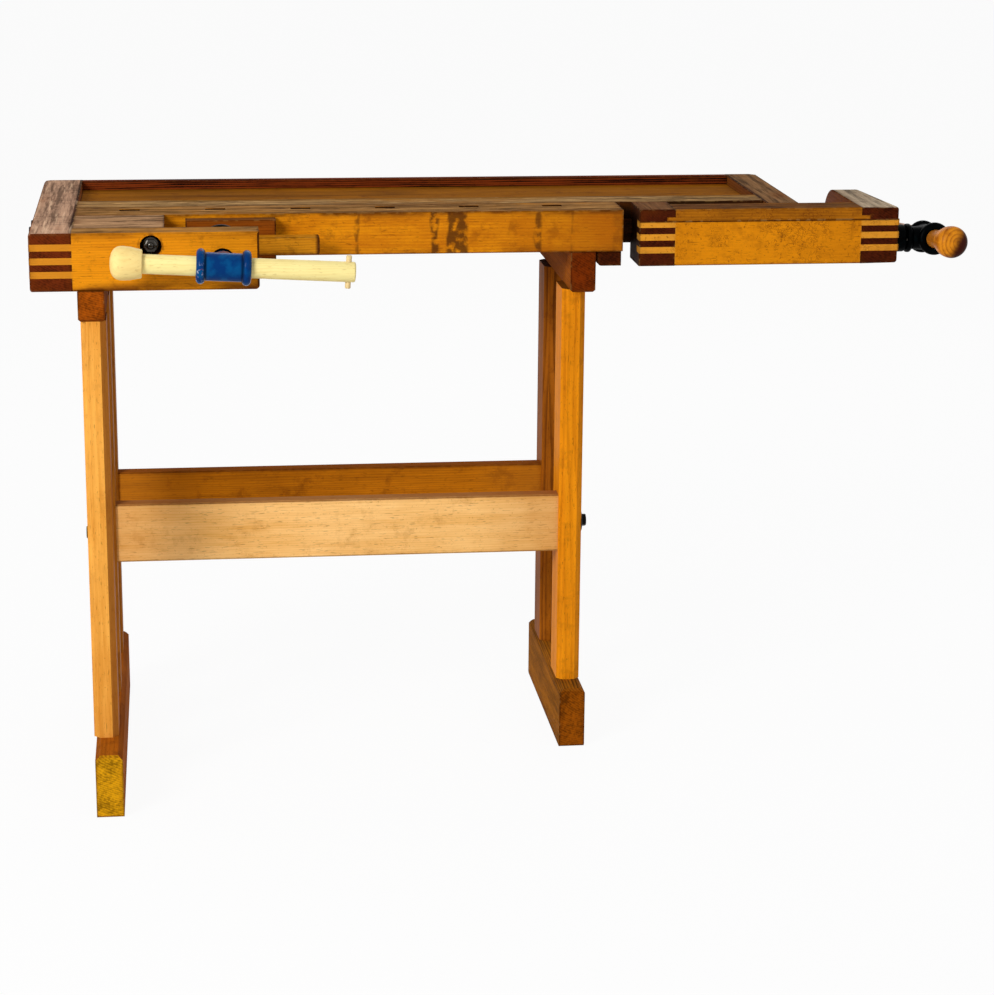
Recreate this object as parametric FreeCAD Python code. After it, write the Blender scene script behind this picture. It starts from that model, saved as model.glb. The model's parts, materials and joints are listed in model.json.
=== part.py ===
import FreeCAD, Part

import math
import os

# A joiner's bench: a laminated top with a tool tray, a dog-leg shoulder vise at the left
# front, an L-shaped tail vise at the right, and two sled-footed trestles with stretchers.
# Millimetres. X runs to the right along the bench from the outer face of the left end cap,
# Y runs to the back from the front edge of the top, Z runs up from the floor. The finished
# bench is moved so that its origin lies on the floor, under the middle of its box.

# ---- The top ----
TOP_HEIGHT = 850.0            # floor to worktop
SLAB_THICKNESS = 63.0
SLAB_LENGTH = 1048.0          # between the end caps
STRIP_DEPTH = 80.0            # front strip that carries the dog holes
STRIP_LENGTH = 816.0          # the strip stops where the tail vise begins
CORE_DEPTH = 60.0             # strip behind the dog holes, full length
LEFT_CAP_WIDTH = 60.0
RIGHT_CAP_WIDTH = 49.0
CAP_HEIGHT = 83.0
CAP_CORNER = 9.0              # clipped rear outer corners of both caps
EDGE_EASE = 1.5               # small ease on the arrises of the top
ARM_EASE = 3.0

TRAY_DEPTH = 210.0            # clear width of the tool tray
TRAY_DROP = 14.0              # tray floor below the worktop
TRAY_FLOOR = 12.0
TRAY_GROOVE = 8.0
BACK_BOARD = 18.0
BACK_BOARD_HEIGHT = 63.0

DOG_HOLES = 6
DOG_FIRST = 79.0              # from the left end of the strip
DOG_PITCH = 127.0
DOG_SETBACK = 50.0            # centre of the holes behind the front edge
DOG_LENGTH = 30.0
DOG_WIDTH = 16.0

# ---- The shoulder vise ----
ARM_LENGTH = 264.0
ARM_THICKNESS = 48.0
ARM_HEIGHT = 83.0
SPACER_LENGTH = 130.0
SPACER_DEPTH = 115.0          # front of the top to back of the arm
SHOULDER_FINGER_TOP = 15.0    # first finger below the worktop
FINGER = 9.7
FINGER_PITCH = 19.5
FINGERS = 3
ARM_ROUND = 6.0               # lower right end of the arm

JAW_LEFT = 161.0              # from the left end of the strip
JAW_LENGTH = 132.0
JAW_THICKNESS = 25.0
JAW_TOP_DROP = 5.0
JAW_HEIGHT = 62.0
JAW_REST_GAP = 1.0            # jaw to the front of the top, as it stands
GUIDE_THICKNESS = 24.0
GUIDE_HEIGHT = 26.0
GUIDE_OVERRUN = 63.0          # past the right end of the jaw
GUIDE_INSERT = 40.0           # into the slot of the spacer
GUIDE_PLAY = 0.6
SLOT_CLEAR = 3.0              # slot past the ends of the bar's travel
SHOULDER_TRAVEL = 51.0
PLATE_RADIUS = 33.0
PLATE_THICKNESS = 8.0
PLATE_FLOOR = 2.0             # metal left behind the tip of the screw
PLATE_SCREW_INSET = 10.0

SHOULDER_SCREW_X = 212.0      # from the left end of the strip
SHOULDER_SCREW_DROP = 40.0    # below the worktop
SHOULDER_HUB_OUT = 57.0       # centre of the hub in front of the arm
HANDLE_TILT = 3.0             # degrees, right end low

ARM_BOLT_X = 111.0            # from the left end of the strip
ARM_BOLT_DROP = 19.0
ARM_BOLT_DEPTH = 60.0         # hole behind the front edge of the top
ARM_BOLT_SUNK = 2.0
RECESS_RADIUS = 15.5
RECESS_DEPTH = 13.0
RECESS_PLAY = 0.5

# ---- Screws, hubs and handles, alike on both vises ----
SCREW_RADIUS = 12.0
SCREW_TIP_RADIUS = 8.0
RUNNING_FIT = 0.05
END_PLAY = 0.3
BUSH_RADIUS = 17.0
BUSH_FLANGE_RADIUS = 24.0
TAIL_BUSH_FLANGE_RADIUS = 20.0
BUSH_FLANGE = 4.0
SCREW_WAY = 1.0               # plain hole around a screw
HUB_LENGTH = 77.0
HUB_RADIUS = 20.0
HUB_FLANGE_RADIUS = 25.0
HUB_FLANGE = 13.0
HUB_SLOPE = 4.0
HUB_EASE = 3.0
NECK_BASE_RADIUS = 19.0
NECK_RADIUS = 17.5
NECK_LENGTH = 34.0
TAIL_NECK_LENGTH = 28.0
HANDLE_RADIUS = 14.5
HANDLE_FIT = 0.4
HANDLE_LEFT = 158.0           # knob end to hub centre
HANDLE_RIGHT = 185.0          # hub centre to plain end
KNOB_RADIUS = 24.0
KNOB_END_RADIUS = 20.0        # the knob tapers toward the bar
KNOB_LENGTH = 45.0
KNOB_SOCKET = 24.0
KNOB_DOME = 18.0
KNOB_CONES = 5
KNOB_EASE = 1.5
BAR_EASE = 2.0
PIN_RADIUS = 4.0
PIN_LENGTH = 47.0
PIN_INSET = 10.0

# ---- The tail vise ----
VISE_HEIGHT = 86.0
VISE_REST_GAP = 25.0
VISE_TRAVEL = 120.0
TAIL_JAW_WIDTH = 55.0
TAIL_JAW_PLAY = 1.5           # to the edge of the core strip
END_BLOCK_CLEAR = 87.0        # right cap to the end block, as the vise stands
FRONT_BOARD_LENGTH = (SLAB_LENGTH - STRIP_LENGTH - VISE_REST_GAP - TAIL_JAW_WIDTH
                      + RIGHT_CAP_WIDTH + END_BLOCK_CLEAR)
FRONT_BOARD = 22.0
COVER_THICKNESS = 18.0
COVER_DEPTH = 52.0
COVER_TONGUE = 6.0
COVER_TONGUE_LENGTH = 13.0
TAIL_FINGER_TOP = 18.0
END_BLOCK_WIDTH = 59.0
END_BLOCK_REAR_WIDTH = 38.0
END_BLOCK_LENGTH = 240.0
END_BLOCK_ROUND = 60.0
END_BLOCK_EASE = 5.0
TAIL_SCREW_SETBACK = 45.0
TAIL_SCREW_DROP = 55.0
TAIL_HUB_OUT = 60.0           # centre of the hub past the end block
TAIL_SCREW_CLEAR = 27.0       # jaw block to the inner end of the screw
TAIL_SCREW_LENGTH = FRONT_BOARD_LENGTH + END_BLOCK_WIDTH + TAIL_HUB_OUT - TAIL_SCREW_CLEAR
TAIL_HANDLE_SHIFT = 18.0      # the handle pushed back through its hub
TAIL_HANDLE_TILT = 6.2        # degrees, knob end high
COLLAR_RADIUS = 21.0
COLLAR_THICKNESS = 21.5
COLLAR_ROUND = 3.0
RING_RADIUS = 22.0
RING_THICKNESS = 8.5
NUT_WALL_CLEAR = 2.0          # right cap to the inside of the front board and cover
RUNNER_DEPTH = 16.0
RUNNER_HEIGHT = 20.0
RUNNER_DROP = 26.0
RUNNER_PLAY = 0.6
GUIDE_BAR = 30.0
GUIDE_BAR_SETBACK = 190.0
GUIDE_BAR_DROP = 30.0
GUIDE_BAR_TENON = 30.0
KEEPER_WIDTH = 34.0
KEEPER_WALL = 14.0
KEEPER_FROM_CAP = 70.0
FIXED_JAW_WIDTH = 36.0
FIXED_JAW_SETBACK = 8.0
FIXED_JAW_DEPTH = 64.0
FIXED_JAW_ROUND = 6.0
FIXED_JAW_INSET = 1.0         # behind the end of the front strip

# ---- The trestles ----
TRESTLE_FROM_STRIP_END = 68.0
LEFT_TRESTLE_X = 87.0         # middle of the left legs
RIGHT_TRESTLE_X = LEFT_CAP_WIDTH + STRIP_LENGTH - TRESTLE_FROM_STRIP_END
LEG_WIDTH = 36.0
LEG_DEPTH = 76.0
LEG_PITCH = 195.0
LEG_CHAMFER = 8.5
RIGHT_LEG_SETBACK = 32.0
RAIL_WIDTH = 38.0
RAIL_HEIGHT = 63.0
LEFT_RAIL_SHIFT = -2.0
RIGHT_RAIL_SHIFT = 9.0
RAIL_CHAMFER = 3.5
RIGHT_RAIL_FRONT = 5.0
LEFT_RAIL_PROUD = 4.0         # past the front face of the arm
RAIL_REAR = 355.0
FOOT_WIDTH = 40.0
FOOT_HEIGHT = 96.0
FOOT_OVERHANG = 47.0
LEFT_FOOT_FRONT = 78.0
LEFT_FOOT_SHIFT = 5.0
FOOT_CHAMFER = 7.0
TENON_THICKNESS = 13.0
TENON_SHOULDER = 10.0
RAIL_TENON = 38.0
FOOT_TENON = 52.0

STRETCHER_BOTTOM = 305.0
STRETCHER_HEIGHT = 92.0
STRETCHER_THICKNESS = 27.0
STRETCHER_SETBACK = 13.0      # behind the front faces of the legs
STRETCHER_CHAMFER = 2.5
STUB_TENON = 8.0
STUB_THICKNESS = 12.0
STUB_SHOULDER = 14.0
DOWEL_RADIUS = 10.0
DOWEL_LENGTH = 44.0
DOWEL_SETBACK = 16.0          # front dowels, behind the front edge of the top
DOWEL_IN_CORE = 36.0          # rear dowels, behind the front strip

# ---- Bolts, nuts and wood screws ----
BOLT_RADIUS = 5.0
BOLT_ACROSS = 17.0
BOLT_HEAD = 7.0
BOLT_END_CLEAR = 4.0          # hole past the end of a bolt
NUT_THICKNESS = 8.0
NUT_SIDE = 16.0               # square nuts, let in from the underside
NUT_PLAY = 1.0
NUT_FROM_END = 13.0           # middle of a nut to the end of its bolt hole
WASHER_RADIUS = 19.5
WASHER = 2.5
CAP_WASHER_RADIUS = 11.5
CAP_BOLT_SETBACK = 48.0
CAP_BOLT_DROP = 33.0
CAP_BOLT_DEPTH = 58.0
BOLT_IN_STRETCHER = 70.0
BARREL_RADIUS = 8.0
BARREL_FROM_END = 14.0
BARREL_SKIN = 5.0             # wood left in front of the barrel nut
BARREL_SUNK = 1.0
WOOD_SCREW_RADIUS = 2.5
WOOD_SCREW_HEAD = 4.5
WOOD_SCREW_HEAD_DEPTH = 3.0
SCREW_BITE = 22.0             # into the far piece
SCREW_INSET = 12.0
SCREW_SKIN = 4.0              # wood left over the point of a screw
RUNNER_SCREW_PLACES = (0.13, 0.5, 0.87)

# ---- Worked out from the above ----
V = FreeCAD.Vector
TOUCH = 1e-6
PAST = 1.0                    # cutters run this far past a face
AXES = {"x": V(1, 0, 0), "y": V(0, 1, 0), "z": V(0, 0, 1)}

slab_left = LEFT_CAP_WIDTH
slab_right = slab_left + SLAB_LENGTH
strip_right = slab_left + STRIP_LENGTH
slab_bottom = TOP_HEIGHT - SLAB_THICKNESS
core_rear = STRIP_DEPTH + CORE_DEPTH
tray_rear = core_rear + TRAY_DEPTH
bench_rear = tray_rear + BACK_BOARD
cap_bottom = TOP_HEIGHT - CAP_HEIGHT
cap_bolt_places = (CAP_BOLT_SETBACK, STRIP_DEPTH + CORE_DEPTH / 2)
cap_bolt_z = TOP_HEIGHT - CAP_BOLT_DROP
arm_rear = -SPACER_DEPTH
arm_front = arm_rear - ARM_THICKNESS
arm_bottom = TOP_HEIGHT - ARM_HEIGHT
arm_right = slab_left + ARM_LENGTH
spacer_right = slab_left + SPACER_LENGTH
tray_floor_top = TOP_HEIGHT - TRAY_DROP

jaw_left = slab_left + JAW_LEFT
jaw_right = jaw_left + JAW_LENGTH
jaw_rear = -JAW_REST_GAP
jaw_front = jaw_rear - JAW_THICKNESS
jaw_top = TOP_HEIGHT - JAW_TOP_DROP
guide_front = jaw_front - GUIDE_THICKNESS
guide_left = spacer_right - GUIDE_INSERT
plate_front = guide_front - PLATE_THICKNESS
shoulder_x = slab_left + SHOULDER_SCREW_X
shoulder_z = TOP_HEIGHT - SHOULDER_SCREW_DROP
shoulder_hub_y = arm_front - SHOULDER_HUB_OUT
arm_bolt_x = slab_left + ARM_BOLT_X
arm_bolt_z = TOP_HEIGHT - ARM_BOLT_DROP

vise_bottom = TOP_HEIGHT - VISE_HEIGHT
tail_jaw_left = strip_right + VISE_REST_GAP
board_left = tail_jaw_left + TAIL_JAW_WIDTH
board_right = board_left + FRONT_BOARD_LENGTH
block_right = board_right + END_BLOCK_WIDTH
cap_left = slab_right
cap_right = cap_left + RIGHT_CAP_WIDTH
tail_y = TAIL_SCREW_SETBACK
tail_z = TOP_HEIGHT - TAIL_SCREW_DROP
tail_hub_x = block_right + TAIL_HUB_OUT
runner_front = STRIP_DEPTH - RUNNER_DEPTH
runner_top = TOP_HEIGHT - RUNNER_DROP
bar_top = TOP_HEIGHT - GUIDE_BAR_DROP
bar_bottom = bar_top - GUIDE_BAR
bar_front = GUIDE_BAR_SETBACK
bar_rear = bar_front + GUIDE_BAR
keeper_right = cap_left - KEEPER_FROM_CAP
keeper_left = keeper_right - KEEPER_WIDTH

rail_bottom = slab_bottom - RAIL_HEIGHT
right_legs = [RIGHT_LEG_SETBACK, RIGHT_LEG_SETBACK + LEG_PITCH]
left_legs = [RIGHT_LEG_SETBACK - LEG_PITCH] + right_legs
foot_rear = right_legs[-1] + LEG_DEPTH + FOOT_OVERHANG
stretcher_left = LEFT_TRESTLE_X + LEG_WIDTH / 2
stretcher_right = RIGHT_TRESTLE_X - LEG_WIDTH / 2
stretcher_z = STRETCHER_BOTTOM + STRETCHER_HEIGHT / 2


# ---- Forms ----
def box(x0, x1, y0, y1, z0, z1):
    return Part.makeBox(x1 - x0, y1 - y0, z1 - z0, V(x0, y0, z0))


def rod(start, axis, radius, length):
    return Part.makeCylinder(radius, length, V(*start), AXES[axis])


def joined(shapes):
    whole = shapes[0].multiFuse(shapes[1:]) if len(shapes) > 1 else shapes[0]
    return whole.removeSplitter()


def group(solids):
    return Part.makeCompound(solids)


def outer_edges(shape, axis, faces=None):
    """Edges along an axis that lie on two outer faces of the shape; faces narrows the choice."""
    others = [name for name in "xyz" if name != axis]
    bounds = shape.BoundBox
    sides = {
        "x": (bounds.XMin, bounds.XMax),
        "y": (bounds.YMin, bounds.YMax),
        "z": (bounds.ZMin, bounds.ZMax),
    }
    chosen = []
    for edge in shape.Edges:
        direction = edge.Vertexes[-1].Point - edge.Vertexes[0].Point
        if direction.Length < TOUCH or abs(direction.normalize().dot(AXES[axis])) < 0.999:
            continue
        tags = set()
        for name in others:
            place = getattr(edge.CenterOfMass, name)
            tags |= {name + sign for sign, side in zip("-+", sides[name]) if abs(place - side) < TOUCH}
        if len(tags) == len(others) and (faces is None or tags <= set(faces)):
            chosen.append(edge)
    return chosen


def chamfered(shape, size, axis, faces=None):
    edges = outer_edges(shape, axis, faces)
    return shape.makeChamfer(size, edges) if edges else shape


def rounded(shape, radius, axis, faces=None):
    edges = outer_edges(shape, axis, faces)
    return shape.makeFillet(radius, edges) if edges else shape


def hexagon(centre, axis, across, height):
    """A hexagonal prism from its centre point along an axis."""
    radius = across / math.sqrt(3)
    corners = [V(radius * math.cos(math.radians(60 * i)), radius * math.sin(math.radians(60 * i)), 0)
               for i in range(7)]
    prism = Part.Face(Part.makePolygon(corners)).extrude(V(0, 0, height))
    prism.Placement = FreeCAD.Placement(V(*centre), FreeCAD.Rotation(V(0, 0, 1), AXES[axis]))
    return prism


def square_nut(centre, axis, play=0.0):
    """A square nut about the axis of its bolt."""
    half = {name: NUT_SIDE / 2 + play for name in "xyz"}
    half[axis] = NUT_THICKNESS / 2 + play
    x, y, z = centre
    return box(x - half["x"], x + half["x"], y - half["y"], y + half["y"], z - half["z"], z + half["z"])


def nut_slot(centre, axis):
    """The slot that lets a square nut in from the underside of the top."""
    nut = square_nut(centre, axis, NUT_PLAY).BoundBox
    return box(nut.XMin, nut.XMax, nut.YMin, nut.YMax, slab_bottom - PAST, nut.ZMax)


def turned(profile):
    """A solid turned from (along, radius) points about the X axis."""
    points = [V(along, radius, 0) for along, radius in profile]
    face = Part.Face(Part.makePolygon(points + points[:1]))
    return face.revolve(V(0, 0, 0), AXES["x"], 360)


def finger_levels(top_gap):
    """Bottom and top of each finger of a corner joint."""
    tops = [TOP_HEIGHT - top_gap - FINGER_PITCH * i for i in range(FINGERS)]
    return [(top - FINGER, top) for top in tops]


# ---- The top ----
def dog_strip():
    strip = box(slab_left, strip_right, 0, STRIP_DEPTH, slab_bottom, TOP_HEIGHT)
    strip = chamfered(strip, EDGE_EASE, "x", ["y-", "z-", "z+"])
    dog_holes = []
    for i in range(DOG_HOLES):
        x = slab_left + DOG_FIRST + DOG_PITCH * i
        dog_holes.append(box(x - DOG_LENGTH / 2, x + DOG_LENGTH / 2, DOG_SETBACK - DOG_WIDTH / 2,
                             DOG_SETBACK + DOG_WIDTH / 2, slab_bottom - PAST, TOP_HEIGHT + PAST))
    bolt_way = rod((arm_bolt_x, -PAST, arm_bolt_z), "y", BOLT_RADIUS, ARM_BOLT_DEPTH + PAST)
    bolt_slot = nut_slot((arm_bolt_x, ARM_BOLT_DEPTH - NUT_FROM_END, arm_bolt_z), "y")
    cap_ways = [cap_bolt_way(slab_left, y) for y in cap_bolt_places if y < STRIP_DEPTH]
    return strip.cut(dog_holes + [bolt_way, bolt_slot] + cap_ways + dowels() + jaw_block_screws())


def core_strip():
    core = box(slab_left, slab_right, STRIP_DEPTH, core_rear, slab_bottom, TOP_HEIGHT)
    groove = box(slab_left - PAST, slab_right + PAST, core_rear - TRAY_GROOVE, core_rear + PAST,
                 tray_floor_top - TRAY_FLOOR, tray_floor_top)
    cap_ways = [cap_bolt_way(x, y) for y in cap_bolt_places if y > STRIP_DEPTH
                for x in (slab_left, slab_right)]
    return core.cut([groove] + cap_ways + dowels() + runner_screws())


def guide_bar_way(x0, x1):
    """The square way of the tail vise's guide bar."""
    play = RUNNER_PLAY
    return box(x0, x1, bar_front - play, bar_rear + play, bar_bottom - play, bar_top + play)


def cap_bolt_way(joint_x, y):
    """Blind bolt hole and nut slot in the end of the top, inward from the joint with a cap."""
    inward = 1 if joint_x == slab_left else -1
    end_x = joint_x + inward * CAP_BOLT_DEPTH
    hole = rod((min(joint_x, end_x), y, cap_bolt_z), "x", BOLT_RADIUS, CAP_BOLT_DEPTH)
    return hole.fuse(nut_slot((end_x - inward * NUT_FROM_END, y, cap_bolt_z), "x"))


def tray_floor():
    floor = box(slab_left, slab_right, core_rear - TRAY_GROOVE, tray_rear + TRAY_GROOVE,
                tray_floor_top - TRAY_FLOOR, tray_floor_top)
    return floor.cut(keeper_screws())


def back_board():
    board = box(slab_left, slab_right, tray_rear, bench_rear, TOP_HEIGHT - BACK_BOARD_HEIGHT, TOP_HEIGHT)
    board = chamfered(board, EDGE_EASE, "x", ["y+", "z-", "z+"])
    groove = box(slab_left - PAST, slab_right + PAST, tray_rear - PAST, tray_rear + TRAY_GROOVE,
                 tray_floor_top - TRAY_FLOOR, tray_floor_top)
    return board.cut(groove)


def arm_fingers():
    levels = finger_levels(SHOULDER_FINGER_TOP)
    return [box(0, slab_left, arm_front, arm_rear, low, high) for low, high in levels]


def left_end_cap():
    cap = box(0, slab_left, arm_front, bench_rear, cap_bottom, TOP_HEIGHT)
    cap = chamfered(cap, CAP_CORNER, "z", ["x-", "y+"])
    cap = chamfered(cap, ARM_EASE, "x", ["y-", "z-", "z+"])
    bolts = [rod((-PAST, y, cap_bolt_z), "x", BOLT_RADIUS, slab_left + 2 * PAST) for y in cap_bolt_places]
    return cap.cut(arm_fingers() + bolts)


def right_end_cap():
    """The cap runs forward under the vise cover, where it holds the nut of the tail screw."""
    front = FRONT_BOARD + NUT_WALL_CLEAR
    cap = box(cap_left, cap_right, front, bench_rear, cap_bottom, TOP_HEIGHT)
    cap = chamfered(cap, CAP_CORNER, "z", ["x+", "y+"])
    start = cap_left - PAST
    length = RIGHT_CAP_WIDTH + 2 * PAST
    step = box(start, cap_right + PAST, front - PAST, COVER_DEPTH + NUT_WALL_CLEAR,
               TOP_HEIGHT - COVER_THICKNESS - NUT_WALL_CLEAR, TOP_HEIGHT + PAST)
    bush = rod((start, tail_y, tail_z), "x", BUSH_RADIUS, length)
    bolt = rod((start, cap_bolt_places[-1], cap_bolt_z), "x", BOLT_RADIUS, length)
    return cap.cut([step, bush, guide_bar_way(start, cap_right + PAST), bolt])


def cap_bolt(joint_x, cap_width, y):
    """A bolt with its washer and square nut, from the face of a cap into the top."""
    inward = 1 if joint_x == slab_left else -1
    face = joint_x - inward * cap_width
    under_head = face - inward * WASHER
    way_end = joint_x + inward * CAP_BOLT_DEPTH
    end = way_end - inward * BOLT_END_CLEAR
    shank = rod((min(under_head, end), y, cap_bolt_z), "x", BOLT_RADIUS, abs(end - under_head))
    washer = rod((min(face, under_head), y, cap_bolt_z), "x", CAP_WASHER_RADIUS, WASHER)
    head_start = min(under_head, under_head - inward * BOLT_HEAD)
    head = hexagon((head_start, y, cap_bolt_z), "x", BOLT_ACROSS, BOLT_HEAD)
    nut = square_nut((way_end - inward * NUT_FROM_END, y, cap_bolt_z), "x")
    return joined([shank, washer, head, nut])


def cap_bolts():
    """Bolts that draw the end caps to the top; the right cap has its front one inside the vise."""
    left = [cap_bolt(slab_left, LEFT_CAP_WIDTH, y) for y in cap_bolt_places]
    return group(left + [cap_bolt(slab_right, RIGHT_CAP_WIDTH, cap_bolt_places[-1])])


# ---- The shoulder vise ----
def shoulder_arm():
    arm = box(slab_left, arm_right, arm_front, arm_rear, arm_bottom, TOP_HEIGHT)
    arm = rounded(arm, ARM_ROUND, "y", ["x+", "z-"])
    arm = chamfered(arm, ARM_EASE, "x", ["y-", "z-", "z+"])
    arm = joined([arm] + arm_fingers())
    start = arm_front - PAST
    length = ARM_THICKNESS + 2 * PAST
    recess = rod((arm_bolt_x, start, arm_bolt_z), "y", RECESS_RADIUS, RECESS_DEPTH + PAST)
    bolt = rod((arm_bolt_x, start, arm_bolt_z), "y", BOLT_RADIUS, length)
    screw = rod((shoulder_x, start, shoulder_z), "y", BUSH_RADIUS, length)
    return arm.cut([recess, bolt, screw])


def spacer_block():
    block = box(slab_left, spacer_right, arm_rear, 0, arm_bottom, TOP_HEIGHT)
    low = shoulder_z - GUIDE_HEIGHT / 2 - GUIDE_PLAY
    high = shoulder_z + GUIDE_HEIGHT / 2 + GUIDE_PLAY
    slot = box(guide_left - SLOT_CLEAR, spacer_right + PAST, guide_front - SHOULDER_TRAVEL - SLOT_CLEAR,
               jaw_front + SLOT_CLEAR, low, high)
    bolt = rod((arm_bolt_x, arm_rear - PAST, arm_bolt_z), "y", BOLT_RADIUS, SPACER_DEPTH + 2 * PAST)
    return block.cut([slot, bolt, left_rail_blank()])


def arm_bolt():
    start = arm_front + ARM_BOLT_SUNK
    end = ARM_BOLT_DEPTH - BOLT_END_CLEAR
    return rod((arm_bolt_x, start, arm_bolt_z), "y", BOLT_RADIUS, end - start)


def arm_bolt_washer():
    start = arm_front + RECESS_DEPTH - WASHER
    washer = rod((arm_bolt_x, start, arm_bolt_z), "y", RECESS_RADIUS - RECESS_PLAY, WASHER)
    return washer.cut(arm_bolt())


def arm_bolt_nuts():
    """A hexagon nut in the recess of the arm and a square nut let into the top."""
    start = arm_front + RECESS_DEPTH - WASHER - NUT_THICKNESS
    front = hexagon((arm_bolt_x, start, arm_bolt_z), "y", BOLT_ACROSS, NUT_THICKNESS)
    rear = square_nut((arm_bolt_x, ARM_BOLT_DEPTH - NUT_FROM_END, arm_bolt_z), "y")
    return group([front.cut(arm_bolt()), rear.cut(arm_bolt())])


def shoulder_nut():
    """Threaded bush in the arm, with its flange against the rear face."""
    bush = rod((shoulder_x, arm_front, shoulder_z), "y", BUSH_RADIUS, ARM_THICKNESS)
    flange = rod((shoulder_x, arm_rear, shoulder_z), "y", BUSH_FLANGE_RADIUS, BUSH_FLANGE)
    bore = rod((shoulder_x, arm_front - PAST, shoulder_z), "y", SCREW_RADIUS + RUNNING_FIT,
               ARM_THICKNESS + BUSH_FLANGE + 2 * PAST)
    return joined([bush, flange]).cut(bore)


def shoulder_jaw():
    jaw = box(jaw_left, jaw_right, jaw_front, jaw_rear, jaw_top - JAW_HEIGHT, jaw_top)
    jaw = chamfered(jaw, EDGE_EASE, "x")
    return chamfered(jaw, EDGE_EASE, "z").cut(plate_screw_shapes())


def jaw_guide_bar():
    low = shoulder_z - GUIDE_HEIGHT / 2
    bar = box(guide_left, jaw_right + GUIDE_OVERRUN, guide_front, jaw_front, low, low + GUIDE_HEIGHT)
    return chamfered(bar, EDGE_EASE, "x").cut(plate_screw_shapes())


def swivel_plate():
    plate = rod((shoulder_x, plate_front, shoulder_z), "y", PLATE_RADIUS, PLATE_THICKNESS)
    front_rim = [edge for edge in plate.Edges if abs(edge.CenterOfMass.y - plate_front) < TOUCH]
    plate = plate.makeChamfer(EDGE_EASE, front_rim)
    tip = rod((shoulder_x, plate_front - PAST, shoulder_z), "y", SCREW_TIP_RADIUS + RUNNING_FIT,
              PAST + PLATE_THICKNESS - PLATE_FLOOR)
    return plate.cut([tip] + plate_screw_shapes())


def plate_screw_shapes():
    """Two countersunk screws that hold the plate and the bar to the jaw."""
    offset = PLATE_RADIUS - PLATE_SCREW_INSET
    length = PLATE_THICKNESS + GUIDE_THICKNESS + SCREW_BITE
    return [wood_screw((shoulder_x + side * offset, plate_front, shoulder_z), "y", length)
            for side in (-1, 1)]


def wood_screw(start, axis, length):
    """A countersunk screw with its head at the start."""
    shank = rod(start, axis, WOOD_SCREW_RADIUS, length)
    head = Part.makeCone(WOOD_SCREW_HEAD, WOOD_SCREW_RADIUS, WOOD_SCREW_HEAD_DEPTH, V(*start), AXES[axis])
    return joined([shank, head])


def jaw_block_screws():
    x = strip_right - FIXED_JAW_INSET - FIXED_JAW_WIDTH / 2
    places = (FIXED_JAW_SETBACK + SCREW_INSET, FIXED_JAW_SETBACK + FIXED_JAW_DEPTH - SCREW_INSET)
    return [wood_screw((x, y, vise_bottom), "z", slab_bottom - vise_bottom + SCREW_BITE) for y in places]


def keeper_screws():
    x = (keeper_left + keeper_right) / 2
    bottom = bar_bottom - KEEPER_WALL
    places = (bar_front - KEEPER_WALL / 2, bar_rear + KEEPER_WALL / 2)
    return [wood_screw((x, y, bottom), "z", tray_floor_top - SCREW_SKIN - bottom) for y in places]


def runner_screws():
    length = slab_right - strip_right
    z = runner_top - RUNNER_HEIGHT / 2
    return [wood_screw((strip_right + length * share, runner_front, z), "y", RUNNER_DEPTH + SCREW_BITE)
            for share in RUNNER_SCREW_PLACES]


def collar_screws():
    """Two screws through the thrust collar into the end block."""
    start = block_right + COLLAR_THICKNESS
    offset = (SCREW_RADIUS + COLLAR_RADIUS) / 2
    screws = []
    for side in (-1, 1):
        place = V(start, tail_y + side * offset, tail_z)
        screws.append(Part.makeCylinder(WOOD_SCREW_RADIUS, COLLAR_THICKNESS + SCREW_BITE, place, V(-1, 0, 0)))
    return screws


def screw_body(length, tip):
    """A bench screw along +Y from the middle of its hub, with a plain tip."""
    body = rod((0, HUB_RADIUS, 0), "y", SCREW_RADIUS, length - HUB_RADIUS)
    return joined([body, rod((0, length, 0), "y", SCREW_TIP_RADIUS, tip)]) if tip else body


def cross_hub(neck_length):
    """The iron hub at the origin: the handle passes along X, the screw leaves along +Y."""
    half = HUB_LENGTH / 2
    flange_in = half - HUB_FLANGE
    half_profile = [(half, 0), (half, HUB_FLANGE_RADIUS - HUB_EASE), (half - HUB_EASE, HUB_FLANGE_RADIUS),
                    (flange_in + HUB_SLOPE, HUB_FLANGE_RADIUS), (flange_in, HUB_RADIUS)]
    mirrored = [(-along, radius) for along, radius in reversed(half_profile)]
    spool = turned(half_profile + mirrored)
    neck = Part.makeCone(NECK_BASE_RADIUS, NECK_RADIUS, neck_length, V(0, 0, 0), AXES["y"])
    bore = rod((-half - PAST, 0, 0), "x", HANDLE_RADIUS + HANDLE_FIT, HUB_LENGTH + 2 * PAST)
    socket = rod((0, HUB_RADIUS, 0), "y", SCREW_RADIUS, neck_length)
    return joined([spool, neck]).cut([bore, socket])


def handle_bar():
    start = KNOB_LENGTH - KNOB_SOCKET - HANDLE_LEFT
    bar = rod((start, 0, 0), "x", HANDLE_RADIUS, HANDLE_RIGHT - start)
    end = [edge for edge in bar.Edges if abs(edge.CenterOfMass.x - HANDLE_RIGHT) < TOUCH]
    return bar.makeChamfer(BAR_EASE, end).cut(handle_pin())


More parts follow.
